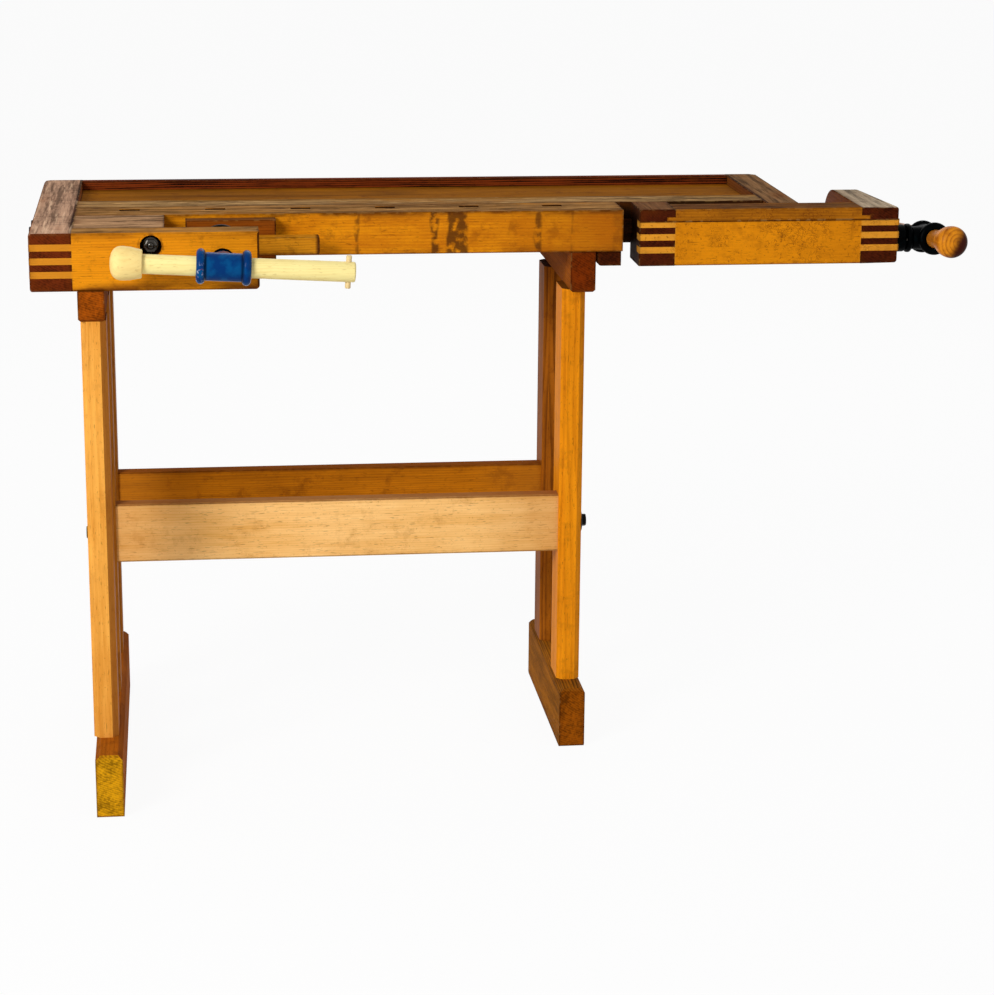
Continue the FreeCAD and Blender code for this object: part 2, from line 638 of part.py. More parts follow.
def handle_knob():
    """A turned knob with a domed end, socketed over the bar; the dome is cut in cones on an arc."""
    start = -HANDLE_LEFT
    end = start + KNOB_LENGTH
    dome_radius = (KNOB_DOME ** 2 + KNOB_RADIUS ** 2) / (2 * KNOB_RADIUS)
    middle = KNOB_RADIUS - dome_radius
    sweep = math.pi / 2 + math.atan2(middle, KNOB_DOME)
    profile = [(end, 0), (end, KNOB_END_RADIUS - KNOB_EASE), (end - KNOB_EASE, KNOB_END_RADIUS)]
    for i in range(KNOB_CONES):
        angle = sweep * i / KNOB_CONES
        profile.append((start + KNOB_DOME - dome_radius * math.sin(angle),
                        middle + dome_radius * math.cos(angle)))
    knob = turned(profile + [(start, 0)])
    return knob.cut(rod((end - KNOB_SOCKET, 0, 0), "x", HANDLE_RADIUS, KNOB_SOCKET + PAST))


def handle_pin():
    return rod((HANDLE_RIGHT - PIN_INSET, 0, -PIN_LENGTH / 2), "z", PIN_RADIUS, PIN_LENGTH)


def at_shoulder(shape):
    shape = shape.copy()
    shape.rotate(V(0, 0, 0), AXES["y"], HANDLE_TILT)
    shape.translate(V(shoulder_x, shoulder_hub_y, shoulder_z))
    return shape


def at_tail(shape, shift=0.0):
    shape = shape.copy()
    shape.translate(V(shift, 0, 0))
    shape.rotate(V(0, 0, 0), AXES["z"], 90)
    shape.rotate(V(0, 0, 0), AXES["x"], -TAIL_HANDLE_TILT)
    shape.translate(V(tail_hub_x, tail_y, tail_z))
    return shape


def shoulder_screw():
    length = plate_front - shoulder_hub_y - END_PLAY
    return at_shoulder(screw_body(length, PLATE_THICKNESS - PLATE_FLOOR))


# ---- The tail vise ----
def tail_fingers(x0, x1):
    return [box(x0, x1, 0, FRONT_BOARD, low, high) for low, high in finger_levels(TAIL_FINGER_TOP)]


def cover_tongues():
    low = TOP_HEIGHT - COVER_THICKNESS
    return [box(board_left - COVER_TONGUE_LENGTH, board_left, 0, COVER_DEPTH, low, low + COVER_TONGUE),
            box(board_right, board_right + COVER_TONGUE_LENGTH, 0, COVER_DEPTH, low, low + COVER_TONGUE)]


def tail_jaw_block():
    block = box(tail_jaw_left, board_left, 0, STRIP_DEPTH - TAIL_JAW_PLAY, vise_bottom, TOP_HEIGHT)
    block = chamfered(block, EDGE_EASE, "z", ["x-", "y-"])
    play = RUNNER_PLAY
    groove = box(tail_jaw_left - PAST, board_left + PAST, runner_front - play, STRIP_DEPTH + PAST,
                 runner_top - RUNNER_HEIGHT - play, runner_top + play)
    return block.cut([groove] + tail_fingers(tail_jaw_left, board_left) + cover_tongues())


def tail_front_board():
    board = box(board_left, board_right, 0, FRONT_BOARD, vise_bottom, TOP_HEIGHT - COVER_THICKNESS)
    board = chamfered(board, EDGE_EASE, "x", ["y-", "z-"])
    left_fingers = tail_fingers(tail_jaw_left, board_left)
    return joined([board] + left_fingers + tail_fingers(board_right, block_right))


def tail_top_cover():
    cover = box(board_left, board_right, 0, COVER_DEPTH, TOP_HEIGHT - COVER_THICKNESS, TOP_HEIGHT)
    cover = chamfered(cover, EDGE_EASE, "x", ["y-", "z+"])
    return joined([cover] + cover_tongues())


def tail_end_block():
    """The end block narrows toward the back, where its top corner is rounded off."""
    corners = [V(board_right, 0, vise_bottom), V(block_right, 0, vise_bottom),
               V(board_right + END_BLOCK_REAR_WIDTH, END_BLOCK_LENGTH, vise_bottom),
               V(board_right, END_BLOCK_LENGTH, vise_bottom)]
    block = Part.Face(Part.makePolygon(corners + corners[:1])).extrude(V(0, 0, VISE_HEIGHT))
    block = rounded(block, END_BLOCK_ROUND, "x", ["y+", "z+"])
    front = [edge for edge in block.Edges if edge.CenterOfMass.x > block_right - TOUCH]
    block = block.makeFillet(END_BLOCK_EASE, front)
    start = board_right - PAST
    screw = rod((start, tail_y, tail_z), "x", SCREW_RADIUS + SCREW_WAY, END_BLOCK_WIDTH + 2 * PAST)
    tenon = box(start, board_right + GUIDE_BAR_TENON, bar_front, bar_rear, bar_bottom, bar_top)
    return block.cut([screw, tenon] + tail_fingers(start, block_right) + cover_tongues() + collar_screws())


def tail_guide_bar():
    """A square bar that keeps the vise in line; it slides through the right cap and the keeper."""
    bar = box(keeper_left - VISE_TRAVEL, board_right + GUIDE_BAR_TENON, bar_front, bar_rear,
              bar_bottom, bar_top)
    return chamfered(bar, EDGE_EASE, "x")


def guide_keeper():
    """A hanger under the tray that carries the inner end of the guide bar."""
    block = box(keeper_left, keeper_right, bar_front - KEEPER_WALL, bar_rear + KEEPER_WALL,
                bar_bottom - KEEPER_WALL, tray_floor_top - TRAY_FLOOR)
    return block.cut([guide_bar_way(keeper_left - PAST, keeper_right + PAST)] + keeper_screws())


def slide_runner():
    """A hardwood runner on the edge of the core strip; the vise jaw is grooved over it."""
    runner = box(strip_right, slab_right, runner_front, STRIP_DEPTH, runner_top - RUNNER_HEIGHT, runner_top)
    return runner.cut(runner_screws())


def fixed_jaw_block():
    """Carries the fixed jaw face down to the height of the vise."""
    right = strip_right - FIXED_JAW_INSET
    block = box(right - FIXED_JAW_WIDTH, right, FIXED_JAW_SETBACK, FIXED_JAW_SETBACK + FIXED_JAW_DEPTH,
                vise_bottom, slab_bottom)
    return rounded(block, FIXED_JAW_ROUND, "y", ["x-", "z-"]).cut(jaw_block_screws())


def tail_nut():
    """Threaded bush in the right cap, with its flange on the outer face."""
    bush = rod((cap_left, tail_y, tail_z), "x", BUSH_RADIUS, RIGHT_CAP_WIDTH)
    flange = rod((cap_right, tail_y, tail_z), "x", TAIL_BUSH_FLANGE_RADIUS, BUSH_FLANGE)
    bore = rod((cap_left - PAST, tail_y, tail_z), "x", SCREW_RADIUS + RUNNING_FIT,
               RIGHT_CAP_WIDTH + BUSH_FLANGE + 2 * PAST)
    return joined([bush, flange]).cut(bore)


def tail_thrust_collar():
    collar = rod((block_right, tail_y, tail_z), "x", COLLAR_RADIUS, COLLAR_THICKNESS)
    outer = block_right + COLLAR_THICKNESS
    outer_rim = [edge for edge in collar.Edges if edge.CenterOfMass.x > outer - TOUCH]
    collar = collar.makeChamfer(COLLAR_ROUND, outer_rim)
    bore = rod((block_right - PAST, tail_y, tail_z), "x", SCREW_RADIUS + RUNNING_FIT,
               COLLAR_THICKNESS + 2 * PAST)
    return collar.cut([bore] + collar_screws())


def tail_screw_ring():
    """Thrust ring shrunk on the screw outside the collar."""
    start = block_right + COLLAR_THICKNESS + END_PLAY
    ring = rod((start, tail_y, tail_z), "x", RING_RADIUS, RING_THICKNESS)
    return ring.cut(rod((start - PAST, tail_y, tail_z), "x", SCREW_RADIUS, RING_THICKNESS + 2 * PAST))


def tail_screw():
    return at_tail(screw_body(TAIL_SCREW_LENGTH, 0))


# ---- The trestles ----
def leg(x, y, mortise_y):
    """A leg with chamfered arrises and a tenon at each end; the stretcher is housed at mortise_y."""
    left = x - LEG_WIDTH / 2
    post = box(left, left + LEG_WIDTH, y, y + LEG_DEPTH, FOOT_HEIGHT, rail_bottom)
    whole = joined([chamfered(post, LEG_CHAMFER, "z")] + leg_tenons(x, [y]))
    if mortise_y is None:
        return whole
    middle = mortise_y + STRETCHER_THICKNESS / 2
    bolt = rod((left - PAST, middle, stretcher_z), "x", BOLT_RADIUS, LEG_WIDTH + 2 * PAST)
    return whole.cut([bolt, stretcher_stub(mortise_y)])


def stretcher_stub(y):
    """Stub tenons at both ends of a stretcher."""
    middle = y + STRETCHER_THICKNESS / 2
    return box(stretcher_left - STUB_TENON, stretcher_right + STUB_TENON, middle - STUB_THICKNESS / 2,
               middle + STUB_THICKNESS / 2, STRETCHER_BOTTOM + STUB_SHOULDER,
               STRETCHER_BOTTOM + STRETCHER_HEIGHT - STUB_SHOULDER)


def leg_tenons(x, legs):
    """The tenons that join the legs at these places to the rail above and the foot below."""
    left = x - TENON_THICKNESS / 2
    return [box(left, left + TENON_THICKNESS, y + TENON_SHOULDER, y + LEG_DEPTH - TENON_SHOULDER,
                FOOT_HEIGHT - FOOT_TENON, rail_bottom + RAIL_TENON) for y in legs]


def left_rail_blank():
    left = LEFT_TRESTLE_X - RAIL_WIDTH / 2 + LEFT_RAIL_SHIFT
    front = arm_front - LEFT_RAIL_PROUD
    blank = box(left, left + RAIL_WIDTH, front, RAIL_REAR, rail_bottom, slab_bottom)
    notch = box(left - PAST, left + RAIL_WIDTH + PAST, front - PAST, 0, arm_bottom, slab_bottom + PAST)
    blank = chamfered(blank, RAIL_CHAMFER, "y", ["x-", "x+", "z-"])
    return chamfered(blank, RAIL_CHAMFER, "x", ["y-", "y+", "z-"]).cut(notch)


def left_top_rail():
    return left_rail_blank().cut(leg_tenons(LEFT_TRESTLE_X, left_legs) + dowels())


def right_top_rail():
    left = RIGHT_TRESTLE_X - RAIL_WIDTH / 2 + RIGHT_RAIL_SHIFT
    rail = box(left, left + RAIL_WIDTH, RIGHT_RAIL_FRONT, RAIL_REAR, rail_bottom, slab_bottom)
    rail = chamfered(rail, RAIL_CHAMFER, "y", ["x-", "x+", "z-"])
    rail = chamfered(rail, RAIL_CHAMFER, "x", ["y-", "y+", "z-"])
    return rail.cut(leg_tenons(RIGHT_TRESTLE_X, right_legs) + dowels())


def foot(x, front, legs, leg_x):
    left = x - FOOT_WIDTH / 2
    sled = box(left, left + FOOT_WIDTH, front, foot_rear, 0, FOOT_HEIGHT)
    sled = chamfered(sled, FOOT_CHAMFER, "y", ["x-", "x+", "z+"])
    sled = chamfered(sled, FOOT_CHAMFER / 2, "x", ["y-", "y+", "z+", "z-"])
    return sled.cut(leg_tenons(leg_x, legs))


def dowels():
    """Dowels that locate the top on the rails."""
    places = [(x, y) for x in (LEFT_TRESTLE_X + LEFT_RAIL_SHIFT, RIGHT_TRESTLE_X + RIGHT_RAIL_SHIFT)
              for y in (DOWEL_SETBACK, STRIP_DEPTH + DOWEL_IN_CORE)]
    low = slab_bottom - DOWEL_LENGTH / 2
    return [rod((x, y, low), "z", DOWEL_RADIUS, DOWEL_LENGTH) for x, y in places]


def stretcher(y):
    board = box(stretcher_left, stretcher_right, y, y + STRETCHER_THICKNESS, STRETCHER_BOTTOM,
                STRETCHER_BOTTOM + STRETCHER_HEIGHT)
    board = chamfered(board, STRETCHER_CHAMFER, "x")
    middle = y + STRETCHER_THICKNESS / 2
    cuts = []
    for end, inward in ((stretcher_left, 1), (stretcher_right, -1)):
        outer = end - inward * STUB_TENON
        inner = end + inward * BOLT_IN_STRETCHER
        cuts.append(rod((min(outer, inner), middle, stretcher_z), "x", BOLT_RADIUS, abs(inner - outer)))
        barrel = (inner - inward * BARREL_FROM_END, y + BARREL_SKIN, stretcher_z)
        cuts.append(rod(barrel, "y", BARREL_RADIUS, STRETCHER_THICKNESS))
    return joined([board, stretcher_stub(y)]).cut(cuts)


def stretcher_bolt_set(y):
    """Bolts, washers and barrel nuts at the two ends of a stretcher."""
    middle = y + STRETCHER_THICKNESS / 2
    bolts = []
    washers = []
    nuts = []
    for end, inward in ((stretcher_left, 1), (stretcher_right, -1)):
        face = end - inward * LEG_WIDTH
        under_head = face - inward * WASHER
        inner = end + inward * BOLT_IN_STRETCHER
        point = inner - inward * BOLT_END_CLEAR
        shank = rod((min(under_head, point), middle, stretcher_z), "x", BOLT_RADIUS, abs(point - under_head))
        head_start = min(under_head, under_head - inward * BOLT_HEAD)
        bolt = joined([shank, hexagon((head_start, middle, stretcher_z), "x", BOLT_ACROSS, BOLT_HEAD)])
        washer = rod((min(face, under_head), middle, stretcher_z), "x", WASHER_RADIUS, WASHER)
        barrel = (inner - inward * BARREL_FROM_END, y + BARREL_SKIN, stretcher_z)
        nut = rod(barrel, "y", BARREL_RADIUS, STRETCHER_THICKNESS - BARREL_SKIN - BARREL_SUNK)
        bolts.append(bolt)
        washers.append(washer.cut(bolt))
        nuts.append(nut.cut(bolt))
    return bolts, washers, nuts


def stretcher_hardware():
    front = stretcher_bolt_set(right_legs[0] + STRETCHER_SETBACK)
    rear = stretcher_bolt_set(right_legs[1] + STRETCHER_SETBACK)
    return [group(front[i] + rear[i]) for i in range(3)]


def build():
    front_y = right_legs[0] + STRETCHER_SETBACK
    rear_y = right_legs[1] + STRETCHER_SETBACK
    bolts, washers, nuts = stretcher_hardware()
    left_foot_x = LEFT_TRESTLE_X + LEFT_FOOT_SHIFT
    return {
        "dog_strip": dog_strip(),
        "core_strip": core_strip(),
        "tray_floor": tray_floor(),
        "back_board": back_board(),
        "left_end_cap": left_end_cap(),
        "right_end_cap": right_end_cap(),
        "cap_bolts": cap_bolts(),
        "shoulder_arm": shoulder_arm(),
        "spacer_block": spacer_block(),
        "arm_bolt": arm_bolt(),
        "arm_bolt_washer": arm_bolt_washer(),
        "arm_bolt_nuts": arm_bolt_nuts(),
        "shoulder_nut": shoulder_nut(),
        "shoulder_jaw": shoulder_jaw(),
        "jaw_guide_bar": jaw_guide_bar(),
        "swivel_plate": swivel_plate(),
        "plate_screws": group(plate_screw_shapes()),
        "shoulder_screw": shoulder_screw(),
        "shoulder_hub": at_shoulder(cross_hub(NECK_LENGTH)),
        "shoulder_handle": at_shoulder(handle_bar()),
        "shoulder_knob": at_shoulder(handle_knob()),
        "shoulder_handle_pin": at_shoulder(handle_pin()),
        "tail_jaw_block": tail_jaw_block(),
        "tail_front_board": tail_front_board(),
        "tail_top_cover": tail_top_cover(),
        "tail_end_block": tail_end_block(),
        "tail_guide_bar": tail_guide_bar(),
        "guide_keeper": guide_keeper(),
        "slide_runner": slide_runner(),
        "fixed_jaw_block": fixed_jaw_block(),
        "tail_nut": tail_nut(),
        "tail_thrust_collar": tail_thrust_collar(),
        "tail_screw_ring": tail_screw_ring(),
        "tail_screw": tail_screw(),
        "tail_hub": at_tail(cross_hub(TAIL_NECK_LENGTH)),
        "tail_handle": at_tail(handle_bar(), TAIL_HANDLE_SHIFT),
        "tail_knob": at_tail(handle_knob(), TAIL_HANDLE_SHIFT),
        "tail_handle_pin": at_tail(handle_pin(), TAIL_HANDLE_SHIFT),
        "left_front_leg": leg(LEFT_TRESTLE_X, left_legs[0], None),
        "left_middle_leg": leg(LEFT_TRESTLE_X, left_legs[1], front_y),
        "left_rear_leg": leg(LEFT_TRESTLE_X, left_legs[2], rear_y),
        "right_front_leg": leg(RIGHT_TRESTLE_X, right_legs[0], front_y),
        "right_rear_leg": leg(RIGHT_TRESTLE_X, right_legs[1], rear_y),
        "left_top_rail": left_top_rail(),
        "right_top_rail": right_top_rail(),
        "left_foot": foot(left_foot_x, left_legs[0] - LEFT_FOOT_FRONT, left_legs, LEFT_TRESTLE_X),
        "right_foot": foot(RIGHT_TRESTLE_X, right_legs[0] - FOOT_OVERHANG, right_legs, RIGHT_TRESTLE_X),
        "front_stretcher": stretcher(front_y),
        "rear_stretcher": stretcher(rear_y),
        "stretcher_bolts": bolts,
        "stretcher_washers": washers,
        "stretcher_barrel_nuts": nuts,
        "top_dowels": group(dowels()),
        "wood_screws": group(jaw_block_screws() + keeper_screws() + runner_screws()),
        "collar_screws": group(collar_screws()),
    }


def centred(pieces):
    """Moves the bench so that the origin lies on the floor under the middle of its box."""
    bounds = group(list(pieces.values())).BoundBox
    shift = V(-bounds.Center.x, -bounds.Center.y, -bounds.ZMin)
    print("moved by", shift, "overall", bounds.XLength, bounds.YLength, bounds.ZLength)
    for shape in pieces.values():
        shape.translate(shift)
    return pieces


os.makedirs("parts", exist_ok=True)
for name, shape in centred(build()).items():
    shape.exportStep("parts/" + name + ".step")
    print(name, "solids", len(shape.Solids), "valid", shape.isValid(), "cm3", round(shape.Volume / 1000, 1))
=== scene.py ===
# %% [markdown]
# # A joiner's bench with two vises
# This lesson dresses a finished CAD model of an old beech bench: a laminated top with a tool tray, a
# shoulder vise at the left front, a tail vise at the right, and two trestles on sled feet. The CAD model
# is the frame. It says where each piece is and how it moves. Blender adds what a camera sees: grain,
# wear, paint, threads.

# %% Load the frame
import json
import math
import random

import bmesh
import bpy
from mathutils import Matrix, Vector


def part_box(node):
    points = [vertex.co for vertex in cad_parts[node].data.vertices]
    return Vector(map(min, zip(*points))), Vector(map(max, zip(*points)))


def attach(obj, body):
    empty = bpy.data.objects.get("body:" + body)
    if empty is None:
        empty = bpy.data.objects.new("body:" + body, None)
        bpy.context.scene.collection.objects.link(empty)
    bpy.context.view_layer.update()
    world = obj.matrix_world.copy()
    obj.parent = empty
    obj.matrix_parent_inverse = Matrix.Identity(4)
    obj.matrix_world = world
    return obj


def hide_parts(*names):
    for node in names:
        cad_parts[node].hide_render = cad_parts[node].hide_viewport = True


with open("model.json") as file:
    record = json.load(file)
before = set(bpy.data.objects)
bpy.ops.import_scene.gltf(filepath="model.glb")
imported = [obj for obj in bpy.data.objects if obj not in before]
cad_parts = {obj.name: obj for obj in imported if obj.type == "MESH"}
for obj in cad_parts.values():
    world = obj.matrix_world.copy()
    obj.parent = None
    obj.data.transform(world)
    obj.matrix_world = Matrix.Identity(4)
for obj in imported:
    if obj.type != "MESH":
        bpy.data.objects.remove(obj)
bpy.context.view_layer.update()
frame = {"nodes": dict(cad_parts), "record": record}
nodes = frame["nodes"]
body_of = {node: body for body, names in frame["record"]["behaviour"]["bodies"].items() for node in names}
slot_of = {part["node"]: part["material_slot"] for part in frame["record"]["subparts"]}

# %% [markdown]
# A camera stands almost four metres in front of the bench and a little to its left, and looks slightly
# down. A long lens keeps the legs nearly parallel. The three turns are named apart, so that each can be
# changed alone.

# %% Camera
IMAGE_WIDTH = 994
SENSOR = 36.0
FOCAL_PIXELS = 2600.0
CAMERA_PLACE = Vector((-0.47925, -3.8975, 1.451))
CAMERA_HEADING = -7.10
CAMERA_PITCH = 74.88
CAMERA_ROLL = 0.50


def turn(degrees, axis):
    return Matrix.Rotation(math.radians(degrees), 4, axis)


lens = bpy.data.cameras.new("camera")
lens.sensor_fit = "HORIZONTAL"
lens.sensor_width = SENSOR
lens.lens = FOCAL_PIXELS / IMAGE_WIDTH * SENSOR
camera = bpy.data.objects.new("camera", lens)
bpy.context.scene.collection.objects.link(camera)
camera.matrix_world = (Matrix.Translation(CAMERA_PLACE) @ turn(CAMERA_HEADING, "Z")
                       @ turn(CAMERA_PITCH, "X") @ turn(CAMERA_ROLL, "Z"))
bpy.context.scene.camera = camera
bpy.context.scene.view_settings.view_transform = "Standard"
print("lens", round(lens.lens, 2), "mm")

# %% [markdown]
# Node trees get long, and most of a tree is the same few steps: a noise, a sum, a soft threshold, a mix
# of two colours. A small class with one short call for each step keeps a finish readable. The other way,
# wiring every node by hand, takes five lines a node and hides what the finish does.

# %% A class for node trees
AXES = {"x": 0, "y": 1, "z": 2}


def paint(code, scale=1.0):
    """A linear colour from the hexadecimal code of a screen colour. A scale below 1 makes it darker."""
    parts = [int(code[i:i + 2], 16) / 255 for i in (1, 3, 5)]
    linear = [c / 12.92 if c <= 0.04045 else ((c + 0.055) / 1.055) ** 2.4 for c in parts]
    return [min(1.0, c * scale) for c in linear] + [1.0]


class Finish:
    """A material with short calls for the nodes that the finishes use."""

    def __init__(self, name, specular=0.5):
        self.material = bpy.data.materials.new(name)
        self.material.use_nodes = True
        self.tree = self.material.node_tree
        self.shader = self.tree.nodes["Principled BSDF"]
        self.shader.inputs["Specular IOR Level"].default_value = specular
        coordinates = self.add("ShaderNodeTexCoord")
        self.place = coordinates.outputs["Object"]
        self.places = self.split(self.place)
        self.x, self.y, self.z = self.places
        self.facing = self.split(coordinates.outputs["Normal"])

    def add(self, kind, inputs=(), **settings):
        node = self.tree.nodes.new(kind)
        for name, value in settings.items():
            setattr(node, name, value)
        for key, value in dict(inputs).items():
            self.feed(node, key, value)
        return node

    def feed(self, node, key, value):
        if isinstance(value, bpy.types.NodeSocket):
            self.tree.links.new(value, node.inputs[key])
        else:
            node.inputs[key].default_value = value

    def math(self, operation, *values, clamp=False):
        return self.add("ShaderNodeMath", enumerate(values), operation=operation, use_clamp=clamp).outputs[0]

    def plus(self, first, second, clamp=False):
        return self.math("ADD", first, second, clamp=clamp)

    def minus(self, first, second):
        return self.math("SUBTRACT", first, second)

    def times(self, product, *values):
        for value in values:
            product = self.math("MULTIPLY", product, value)
        return product

    def larger(self, first, second):
        return self.math("MAXIMUM", first, second)

    def spread(self, value, middle, amount):
        """How far a value lies from a middle, times an amount."""
        return self.times(self.minus(value, middle), amount)

    def distance(self, *sides):
        """The long side of a right triangle, from its two short ones."""
        squares = [self.math("POWER", side, 2.0) for side in sides]
        return self.math("SQRT", self.plus(*squares))

    def split(self, vector):
        return list(self.add("ShaderNodeSeparateXYZ", {0: vector}).outputs)

    def noise(self, vector, scale, detail=3.0, roughness=0.5):
        inputs = {"Vector": vector, "Scale": scale, "Detail": detail, "Roughness": roughness}
        return self.add("ShaderNodeTexNoise", inputs).outputs[0]

    def soft(self, value, low, high):
        """0 below low and 1 above high, with a soft step between; low above high turns it round."""
        inputs = {"Value": value, "From Min": low, "From Max": high}
        return self.add("ShaderNodeMapRange", inputs, interpolation_type="SMOOTHSTEP").outputs[0]

    def band(self, value, start, end, outside, inside):
        """1 between start and end, with a soft step at each, from outside it to inside it."""
        rise = self.soft(value, start - outside, start + inside)
        return self.times(rise, self.soft(value, end + outside, end - inside))

    def toward(self, side, low=0.5, high=0.8):
        """1 on faces that look to a side such as -y, and 0 on the others."""
        sign = -1.0 if side[0] == "-" else 1.0
        return self.soft(self.facing[AXES[side[1]]], sign * low, sign * high)

    def mix(self, factor, first, second):
        inputs = {0: factor, 6: first, 7: second}
        return self.add("ShaderNodeMix", inputs, data_type="RGBA").outputs[2]

    def stain_and_shade(self, colour, code, mask, strength):
        """Lays another colour over this one, as thickly as mask times strength says."""
        return self.mix(self.times(mask, strength), colour, paint(code))

    def stretched(self, axis, along, seed=0.0, turned=(0, 0, 0)):
        """Coordinates squeezed along one axis, so that a pattern runs long in that direction."""
        scale = [1.0, 1.0, 1.0]
        scale[axis] = along
        inputs = {"Vector": self.place, "Location": (seed, seed * 0.61, seed * 0.37), "Scale": scale,
                  "Rotation": [math.radians(angle) for angle in turned]}
        return self.add("ShaderNodeMapping", inputs).outputs[0]

    def finish(self, colour, roughness, height, strength=0.3, depth=0.0004):
        bump = self.add("ShaderNodeBump", {"Height": height, "Strength": strength, "Distance": depth})
        self.feed(self.shader, "Base Color", colour)
        self.feed(self.shader, "Roughness", roughness)
        self.feed(self.shader, "Normal", bump.outputs[0])
        return self.material


def dress(node, material):
    """Gives a CAD node its finish; its shape stays."""
    nodes[node].data.materials.clear()
    nodes[node].data.materials.append(material)


print("finish class ready")

# %% [markdown]
# Wood is sawn out of a tree, so its pattern belongs to the volume and not to the faces. Each board gets a
# pith, the middle of its tree, somewhere beside it. Year rings are cylinders round the pith, and every
# face cuts them as a saw would: long lines on the sides and arcs on the ends. Beech adds short dark
# flecks along the grain. An image wrapped on each face would be quicker, but the ends would never match
# the sides.

# %% The patterns of a board
RING_GAP = 0.0034
WOOD_SPECULAR = 0.04


class Board(Finish):
    """The finish of one board, with the patterns that its layers share."""

    def __init__(self, piece, grain, pith):
        super().__init__(piece + "_wood", WOOD_SPECULAR)
        self.low, self.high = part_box(piece)
        self.axis = AXES[grain]
        self.seed = random.Random(piece).uniform(1.0, 40.0)
        self.up = self.toward("+z", 0.7, 0.9)
        self.late = self.rings(pith)
        self.streak = self.noise(self.grained(0.05), 75.0, 4.0, 0.6)
        self.lines = self.noise(self.grained(0.07, 3.0), 270.0, 3.0, 0.65)
        self.fibre = self.noise(self.grained(0.03), 900.0, 2.0)
        self.blotch = self.noise(self.grained(0.5), 11.0, 4.0, 0.6)
        self.fleck = self.soft(self.noise(self.grained(0.13), 620.0, 1.0), 0.64, 0.72)
        self.specks = self.soft(self.noise(self.place, 330.0, 3.0, 0.6), 0.63, 0.72)

    def grained(self, squeeze, shift=0.0):
        """Coordinates in which a pattern runs long with the grain."""
        return self.stretched(self.axis, squeeze, self.seed + shift)

    def rings(self, pith):
        """Late wood, from 0 to 1 across each year, round a pith given from the middle of the board."""
        flow = self.grained(0.1)
        sides = []
        across = [i for i in range(3) if i != self.axis]
        for i, offset, scale in zip(across, pith, (7.0, 9.0)):
            sway = self.spread(self.noise(flow, scale, 2.0), 0.5, 0.03)
            middle = (self.low[i] + self.high[i]) / 2 + offset
            sides.append(self.plus(self.minus(self.places[i], middle), sway))
        wobble = self.times(self.noise(flow, 60.0, 3.0), 0.9)
        age = self.math("DIVIDE", self.distance(*sides), RING_GAP)
        year = self.math("FRACT", self.plus(age, wobble))
        return self.times(self.soft(year, 0.3, 0.9), self.soft(year, 1.0, 0.93))

    def nearest_arris(self):
        """Distance to the nearest edge of the board's box: the second smallest distance to its faces."""
        gaps = []
        for value, low, high in zip(self.places, self.low, self.high):
            gaps.append(self.math("MINIMUM", self.minus(value, low), self.minus(high, value)))
        nearer = self.math("MINIMUM", gaps[0], gaps[1])
        farther = self.larger(gaps[0], gaps[1])
        return self.larger(nearer, self.math("MINIMUM", farther, gaps[2]))


print("years are", RING_GAP * 1000, "mm apart")

# %% [markdown]
# A worktop is scratched by saws, chisels and dropped tools. Narrow bands of a stretched noise give thin
# lines that cross the grain at slight angles, a second noise breaks them up, and a bump makes them
# grooves.

# %% Scratches
SCRATCHES = ((14.0, 26.0, 0.011), (-27.0, 34.0, 0.009), (71.0, 22.0, 0.007), (4.0, 40.0, 0.012))


def scratches(wood):
    """Sets of lines. Each has an angle in degrees, a scale and a width."""
    lines = 0.0
    for angle, scale, width in SCRATCHES:
        across = wood.noise(wood.stretched(0, 0.07, wood.seed + angle, (0, 0, angle)), scale, 2.0)
        thin = wood.soft(wood.math("ABSOLUTE", wood.minus(across, 0.55)), width, 0.0)
        lines = wood.larger(lines, thin)
    return wood.times(lines, wood.soft(wood.noise(wood.place, 16.0, 3.0), 0.42, 0.58))


print(len(SCRATCHES), "sets of scratches")

# %% [markdown]
# A finish is laid on in layers, as on the real bench: the oiled sides, the open ends, and on the top a
# face worn grey. One long function would do, but short ones can be changed or left out one by one.

# %% Sides, ends and top
DULL, PALE = 0.32, 1.8                # how much darker and paler the worn top gets


def oiled_sides(wood, light, dark, figure, streaks, stained, stain_and_shade):
    tone = wood.spread(wood.late, 0.35, figure)
    patterns = ((wood.streak, 1.1 * streaks), (wood.lines, 0.7 * streaks), (wood.fibre, 0.4),
                (wood.blotch, 1.5))
    for pattern, strength in patterns:
        tone = wood.plus(tone, wood.spread(pattern, 0.5, strength))
    colour = wood.mix(wood.plus(tone, 0.38, clamp=True), paint(light), paint(dark))
    colour = wood.mix(wood.times(wood.fleck, 0.45), colour, paint(dark, 0.3))
    cloud = wood.soft(wood.noise(wood.place, 30.0, 6.0, 0.68), 0.53, 0.7)
    oil = wood.plus(wood.times(cloud, stained), wood.times(wood.specks, 0.45), clamp=True)
    return wood.mix(oil, colour, paint(stain_and_shade))


def open_ends(wood, colour, cut, end):
    pores = wood.spread(wood.noise(wood.place, 240.0), 0.42, 2.2)
    cloud = wood.spread(wood.noise(wood.place, 34.0, 4.0), 0.45, 2.0)
    tone = wood.plus(wood.plus(wood.times(wood.late, 0.4), pores), cloud, clamp=True)
    return wood.mix(cut, colour, wood.mix(tone, paint(end), paint(end, 0.35)))


def greyed_top(wood, colour, top, scratch):
    """Bare and grey in patches, with dirt in the scratches and dents."""
    patchy = wood.soft(wood.plus(wood.blotch, wood.times(wood.streak, 0.4)), 0.34, 0.68)
    dull = wood.plus(wood.times(wood.streak, 0.6), wood.times(wood.lines, 0.4))
    grey = wood.mix(wood.soft(dull, 0.43, 0.6), paint(top), paint(top, DULL))
    colour = wood.mix(wood.times(wood.up, patchy, 0.88), colour, grey)
    dents = wood.larger(scratch, wood.times(wood.specks, 0.6))
    return wood.stain_and_shade(colour, "#241006", wood.times(wood.up, dents), 0.5)


